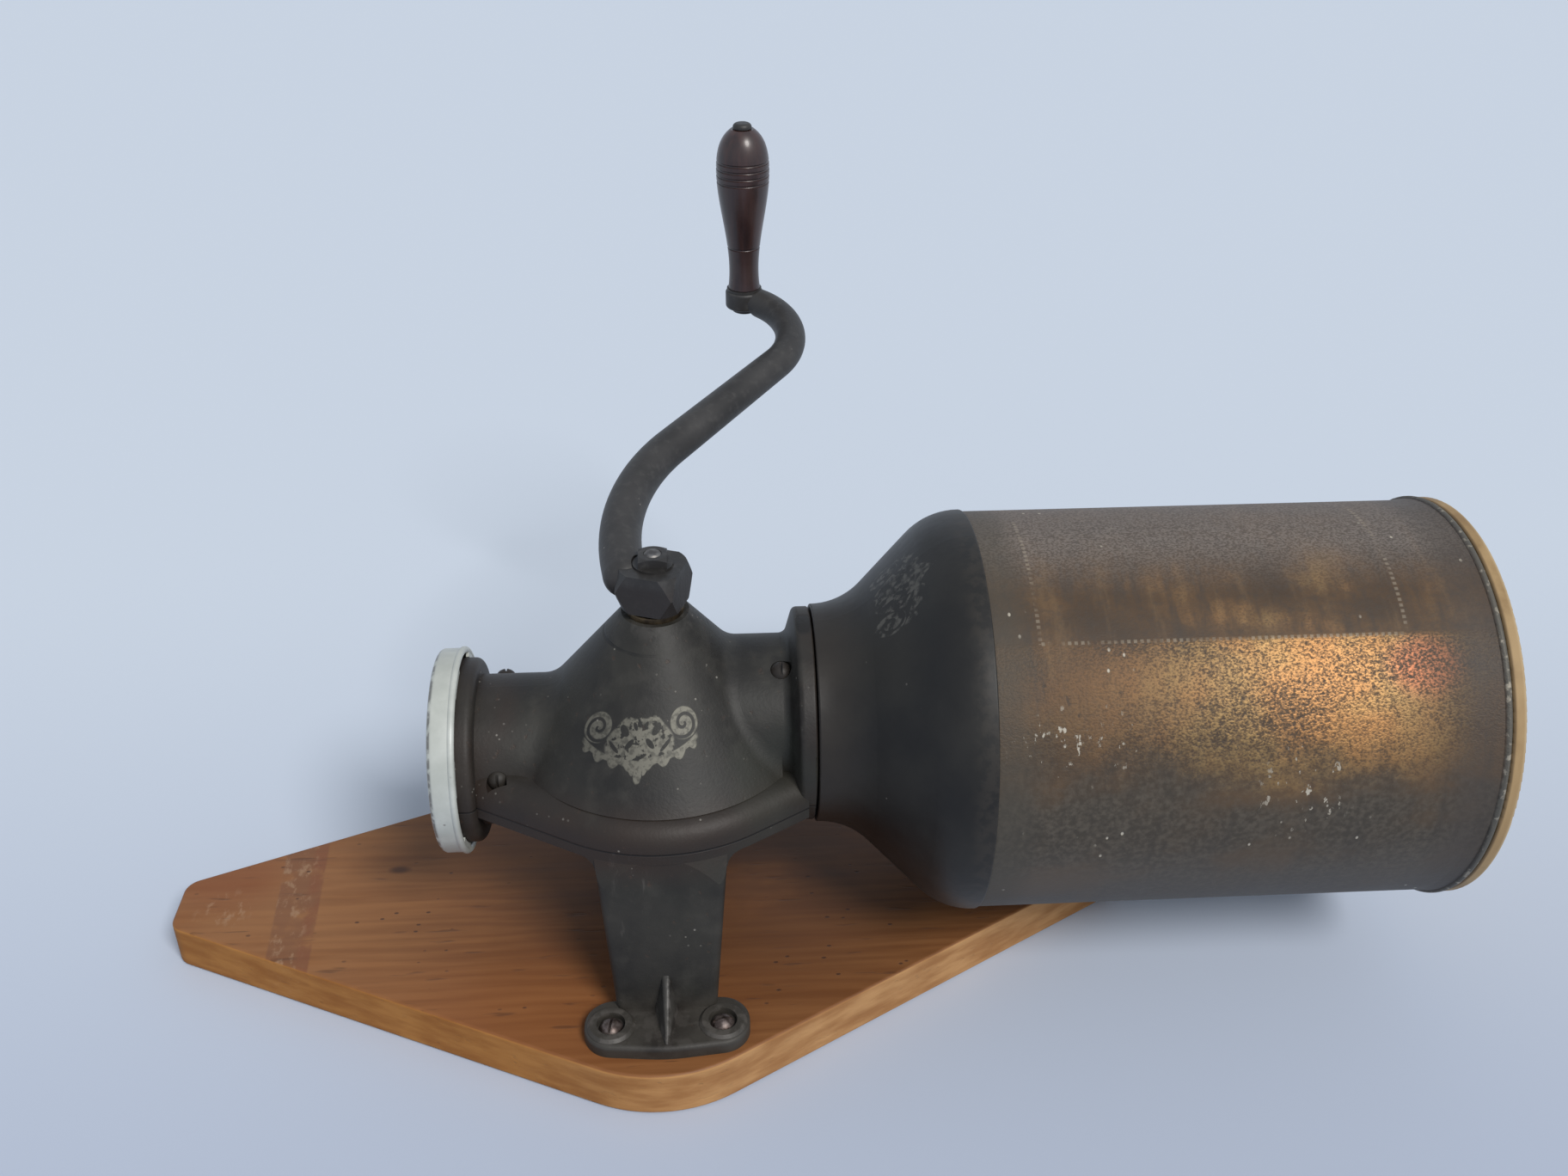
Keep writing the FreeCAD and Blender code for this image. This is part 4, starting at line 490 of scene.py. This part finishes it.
# The angle round the tube is 0 on the near side and grows over the crown to the far side.
lift = (bronze.z - HOPPER_AXIS_Z).angle_from(-1 * bronze.y)
under = (lift + (blotch - 0.5) * 0.5).rise(0.44, 0.08)
under_colour = bronze.blend(grit.rise(0.35, 0.7), (0.050, 0.044, 0.035), (0.094, 0.081, 0.064))
under_colour = bronze.blend(blotch.rise(0.48, 0.68) * 0.6, under_colour, (0.094, 0.064, 0.04))
under_colour = bronze.blend(brushed.rise(0.48, 0.3) * 0.4, under_colour, (0.042, 0.036, 0.03))
under_colour = bronze.blend(lift.rise(-0.02, -0.42) * 0.45, under_colour, (0.115, 0.109, 0.103))
bronze.lay(under_colour, under * 0.9)
# The crown is painted greyer and lighter with glitter: greyer paint, and a painted sheen where the top faces
# the sky.
crown_sheen_colour = bronze.blend(glitter.rise(0.4, 0.6), (0.115, 0.098, 0.087), (0.235, 0.205, 0.185))
bronze.lay(crown_sheen_colour, lift.rise(1.1, 1.5) * 0.7)

ragged = (blotch - 0.5) * 0.42 + (grit - 0.5) * 0.2
band = (lift + ragged).rise(0.2, 0.47) * lift.rise(0.925, 0.885)
upper_rub = lift.rise(0.9, 0.98) * lift.rise(1.45, 1.15)
upper_rub = upper_rub * blotch.rise(0.45, 0.62) * brushed.rise(0.38, 0.6)
far_band = (lift + ragged).rise(2.1, 2.35) * (lift + ragged).rise(2.85, 2.6)
band = band.most(far_band * 0.45).most(upper_rub * 0.42)
# The rubbed metal fades towards both ends. Towards the left the fade is partly real wear and partly painted
# highlight, which dims as the highlight does away from the light.
end_fade_and_highlight = (bronze.x + ragged * 0.06).rise(0.124, 0.214) * bronze.x.rise(0.266, 0.222)
wear_and_highlight = band * (0.12 + 0.88 * end_fade_and_highlight) * (glitter * 0.6 + blotch * 0.25 + grit * 0.25).rise(0.42, 0.64)
metal_colour = bronze.blend(bronze.noise(24, 3).rise(0.4, 0.65), (0.47, 0.305, 0.125), (0.50, 0.255, 0.10))
# Painted glint: an orange red patch in the rubbed metal near the mouth.
copper_glint = ellipse(bronze.x, lift, (0.245, 0.76), (0.012, 0.14), 1.4, 0.5)
metal_colour = bronze.blend(copper_glint * 0.8, metal_colour, (0.86, 0.29, 0.14))
bronze.lay(metal_colour, wear_and_highlight * 0.8)
crackle = bronze.noise(130, 6, stretch=(1.6, 1, 1), rough=0.7).rise(0.6, 0.66) * band
bronze.lay((0.045, 0.035, 0.028), crackle * 0.65)

start_band = bronze.x.rise(CANISTER_START_X + 0.017, CANISTER_START_X + 0.004)
bronze.lay((0.062, 0.056, 0.045), start_band * 0.6)
end_band = (bronze.x + ragged * 0.03).rise(CANISTER_END_X - 0.022, CANISTER_END_X - 0.008)
bronze.lay((0.06, 0.052, 0.047), end_band * 0.55)
chip_places = ellipse(bronze.x, lift, (0.132, 0.44), (0.022, 0.2), 1.2, 0.5)
chip_places = chip_places.most(ellipse(bronze.x, lift, (0.206, 0.2), (0.016, 0.25), 1.2, 0.5))
flakes = bronze.noise(390, 4, stretch=(1, 0.6, 0.6), rough=0.62).rise(0.62, 0.67) * chip_places
pin_chips = bronze.specks(240, (0.15, 0.08), 45, (0.58, 0.66), stretch=(1, 0.7, 0.7))
white_chip = flakes.most(pin_chips)
bronze.lay((0.52, 0.48, 0.40), white_chip * 0.85)
mouth = bronze.x.rise(CANISTER_END_X - 0.0012, CANISTER_END_X - 0.0004)
bronze.lay((0.13, 0.125, 0.108), mouth * 0.75)
rim_chip = mouth * bronze.noise(330, 4).rise(0.55, 0.66)
bronze.lay((0.40, 0.36, 0.29), rim_chip * 0.8)

along_side = bronze.x.rise(BORDER_FROM_X - 0.0002, BORDER_FROM_X)
along_side = along_side * bronze.x.rise(BORDER_TO_X + 0.0002, BORDER_TO_X)
over_crown = lift.rise(BORDER_LOW - 0.004, BORDER_LOW) * lift.rise(BORDER_HIGH + 0.004, BORDER_HIGH)
lift_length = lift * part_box("canister")[1].y
dots_along = (bronze.x % DOT_PITCH).line(DOT_PITCH / 2, *DOT_EDGE)
dots_round = (lift_length % DOT_PITCH).line(DOT_PITCH / 2, *DOT_EDGE)
long_lines = lift.line(BORDER_LOW, 0.011, 0.006).most(lift.line(BORDER_HIGH, 0.011, 0.006))
end_lines = bronze.x.line(BORDER_TO_X, 0.0008, 0.0004).most(bronze.x.line(BORDER_FROM_X, 0.0008, 0.0004))
border = (long_lines * along_side * dots_along).most(end_lines * over_crown * dots_round)
border = border * bronze.noise(120, 3).rise(0.36, 0.55)
bronze.lay((0.36, 0.31, 0.24), border * 0.4)
bronze.finish(0.44 + 0.2 * blotch + 0.12 * grit - 0.12 * wear_and_highlight, Metallic=(wear_and_highlight * 0.85).most(mouth * 0.3))
bronze.dent(blotch * 1.6 + grit * 0.5 + glitter * (0.3 + band) - white_chip + border * 0.4,
            depth=0.0003, strength=0.55)
dress(bronze, "canister")


# The lid: a turned disc of pale wood over the canister's mouth, with a plug that enters it.
# Its rim is ochre, with a painted highlight as a lighter line at the outer edge and painted shadow next to
# the canister.

lid_wood = Surface("bare_lid_wood", Specular_IOR_Level=0.3)
lid_grain = lid_wood.noise(90, 5, stretch=(1, 1, 0.12))
lid_low, lid_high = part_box("canister_lid")
lid_wood.ground(lid_grain.rise(0.3, 0.7), (0.26, 0.165, 0.075), (0.40, 0.275, 0.14))
# Painted highlight: a lighter line along the lid's outer edge.
outer_edge_highlight = lid_wood.x.rise(lid_high.x - 0.0015, lid_high.x - 0.0006)
lid_wood.lay((0.52, 0.41, 0.26), outer_edge_highlight * 0.5)
# Painted shadow: the lid's inner edge and the plug are painted dark, as the shadow in the gap against the
# canister.
gap_shadow_edge = lid_wood.x.rise(lid_low.x + 0.0013, lid_low.x + 0.0004)
lid_wood.lay((0.10, 0.065, 0.035), gap_shadow_edge * 0.6)
lid_stain = lid_wood.noise(40, 4).rise(0.55, 0.75)
lid_wood.lay((0.15, 0.09, 0.045), lid_stain * 0.4)
lid_wood.finish(0.5 + 0.2 * lid_grain)
lid_wood.dent(lid_grain, depth=0.0002, strength=0.5)
dress(lid_wood, "canister_lid", "lid_plug")


# The works: a steel spindle carries a feed worm and a cone of bare iron, which turns in a fixed burr ring.
# It runs in brass bushes. Behind it a screw with a notched head and a lock nut pushes on a ball, which sets
# the grind.

works, works_tone = bare_metal("dark_works_steel", 0.85, (350, 4), (0.35, 0.65),
                               (0.09, 0.082, 0.078), (0.2, 0.19, 0.18))
works.finish(0.32 + 0.3 * works_tone)
works.dent(works.noise(1200, 2), depth=0.0001, strength=0.4)
dress(works, "spindle", "drive_pin", "thrust_ball", "thrust_screw", "lock_nut")

burr, burr_tone = bare_metal("bare_burr_iron", 0.7, (300, 5), (0.3, 0.7),
                             (0.11, 0.1, 0.095), (0.24, 0.23, 0.22))
burr.finish(0.42 + 0.25 * burr_tone)
burr.dent(burr.noise(900, 3), depth=0.0002, strength=0.5)
dress(burr, "grinding_ring", "grinding_cone", "feed_worm")

brass, brass_tone = bare_metal("dull_bush_brass", 0.9, (260, 4), (0.35, 0.7),
                               (0.055, 0.04, 0.026), (0.125, 0.09, 0.05))
brass.finish(0.35 + 0.3 * brass_tone)
dress(brass, "front_bush", "rear_bush")


# The crank: one iron casting with a chamfered hub, an S-shaped arm and an eye for the handle's pin.
# A square nut holds it on the spindle. Its japan is worn thin, so that grey iron shows on the arm and brown
# in the hub's corners.

iron = Surface("worn_crank_iron", Specular_IOR_Level=0.4)
iron_patch = iron.noise(40, 4)
iron_fine = iron.noise(320, 5)
iron.ground(iron_patch.rise(0.3, 0.7), (0.022, 0.0205, 0.0195), (0.042, 0.040, 0.039))
iron.lay((0.060, 0.0575, 0.055), iron_fine.rise(0.5, 0.72) * 0.5)
hub_brown = iron.x.length_with(iron.y).rise(0.02, 0.015) * iron.z.rise(0.1615, 0.157)
iron.lay((0.021, 0.016, 0.014), hub_brown * 0.7)
iron_spot = iron.specks(280, (0.15, 0.08), 70, (0.6, 0.7))
iron.lay((0.22, 0.21, 0.2), iron_spot * 0.6)
iron.finish(0.36 + 0.24 * iron_patch)
iron.dent(iron_fine * 0.8 + iron.noise(1000, 2) * 0.4, depth=0.00025, strength=0.5)
dress(iron, "crank_arm", "crank_nut", "handle_pin", "handle_washer")


# The handle: a grip turned from dark hardwood, loose on its pin, with fine grooves cut round the belly.
# Old polish leaves it red brown and glossy, with the grain along the grip.

polish = Surface("dark_polished_wood", Coat_Roughness=0.2, Coat_Weight=0.3)
handle_grain = polish.noise(300, 5, stretch=(1, 1, 0.06))
handle_cloud = polish.noise(70, 3)
polish.ground(handle_grain.rise(0.3, 0.7), (0.017, 0.0075, 0.007), (0.046, 0.0185, 0.0145))
polish.lay((0.045, 0.026, 0.023), handle_cloud.rise(0.4, 0.7) * 0.5)
handle_nick = polish.specks(260, (0.14, 0.08), 90, (0.62, 0.72))
polish.lay((0.16, 0.11, 0.09), handle_nick * 0.7)
polish.finish(0.26 + 0.2 * handle_cloud)
polish.dent(handle_grain * 0.7 - handle_nick, depth=0.00015, strength=0.4)
dress(polish, "wood_handle")


# The floor: a sheet of pale paper with a cool cast, laid flat just under the board.
# It is part of the stage and not of the mill, and it takes the mill's shadow.

bpy.ops.object.select_all(action="DESELECT")
bpy.ops.mesh.primitive_plane_add(size=16, location=(0, 0, -0.0002))
floor = bpy.context.object
floor.name = "floor"
paper = Surface("pale_paper", Specular_IOR_Level=0.1, Roughness=0.8)
# Painted light and shade: the paper grades from darker on the near side to lighter on the far side.
paper.feed(Base_Color=paper.blend(paper.y.rise(-0.3, 0.3), (0.45, 0.515, 0.665), (0.63, 0.705, 0.82)))
floor.data.materials.append(paper.material)


# The light: an even sky all round, and one soft sun that stands for a window on the near right.
# Seen directly or in shiny metal, the sky is a pale backdrop, lighter than the light that it gives.

sky = bpy.data.worlds.new("soft_sky")
bpy.context.scene.world = sky
sky.use_nodes = True
air = Nodes(sky.node_tree)
ray_kinds = ("Camera", "Glossy", "Transmission")
camera_ray, glossy_ray, clear_ray = (air.add("ShaderNodeLightPath", output=f"Is {k} Ray") for k in ray_kinds)
seen = camera_ray.most(glossy_ray).most(clear_ray)
shining = air.add("ShaderNodeBackground", inputs={"Color": (0.9, 0.95, 1.0, 1), "Strength": 0.42})
showing = air.add("ShaderNodeBackground", inputs={"Color": (0.575, 0.645, 0.75, 1), "Strength": 1.0})
pale = air.add("ShaderNodeMixShader", inputs={0: seen, 1: shining, 2: showing})
air.tree.links.new(pale.socket, air.tree.nodes["World Output"].inputs["Surface"])

window = bpy.data.lights.new("window", "SUN")
window.energy = 2.35
window.angle = math.radians(20)
window.color = (1.0, 0.97, 0.93)
window_holder = bpy.data.objects.new("window", window)
bpy.context.scene.collection.objects.link(window_holder)
window_holder.location = (0.36, -0.59, 0.73)
window_holder.rotation_euler = (math.atan2(0.69, 0.73), 0, math.atan2(0.36, 0.59))


# The camera: a 35 mm lens about 0.44 m in front of the spindle and 0.42 m above the table.
# It looks down on the board by some 32 degrees, as in the photograph, with a slight pan and roll.

camera_data = bpy.data.cameras.new("camera")
camera_data.sensor_width = 36.0
camera_data.lens = 35.333
camera = bpy.data.objects.new("camera", camera_data)
bpy.context.scene.collection.objects.link(camera)
camera.location = (0.01826, -0.440817, 0.423529)
pan = Matrix.Rotation(math.radians(-3.29), 3, "Z")
tilt = Matrix.Rotation(math.radians(58.4), 3, "X")
roll = Matrix.Rotation(math.radians(0.11), 3, "Z")
camera.rotation_euler = (pan @ tilt @ roll).to_euler()
bpy.context.scene.camera = camera

bpy.context.scene.view_settings.view_transform = "Standard"
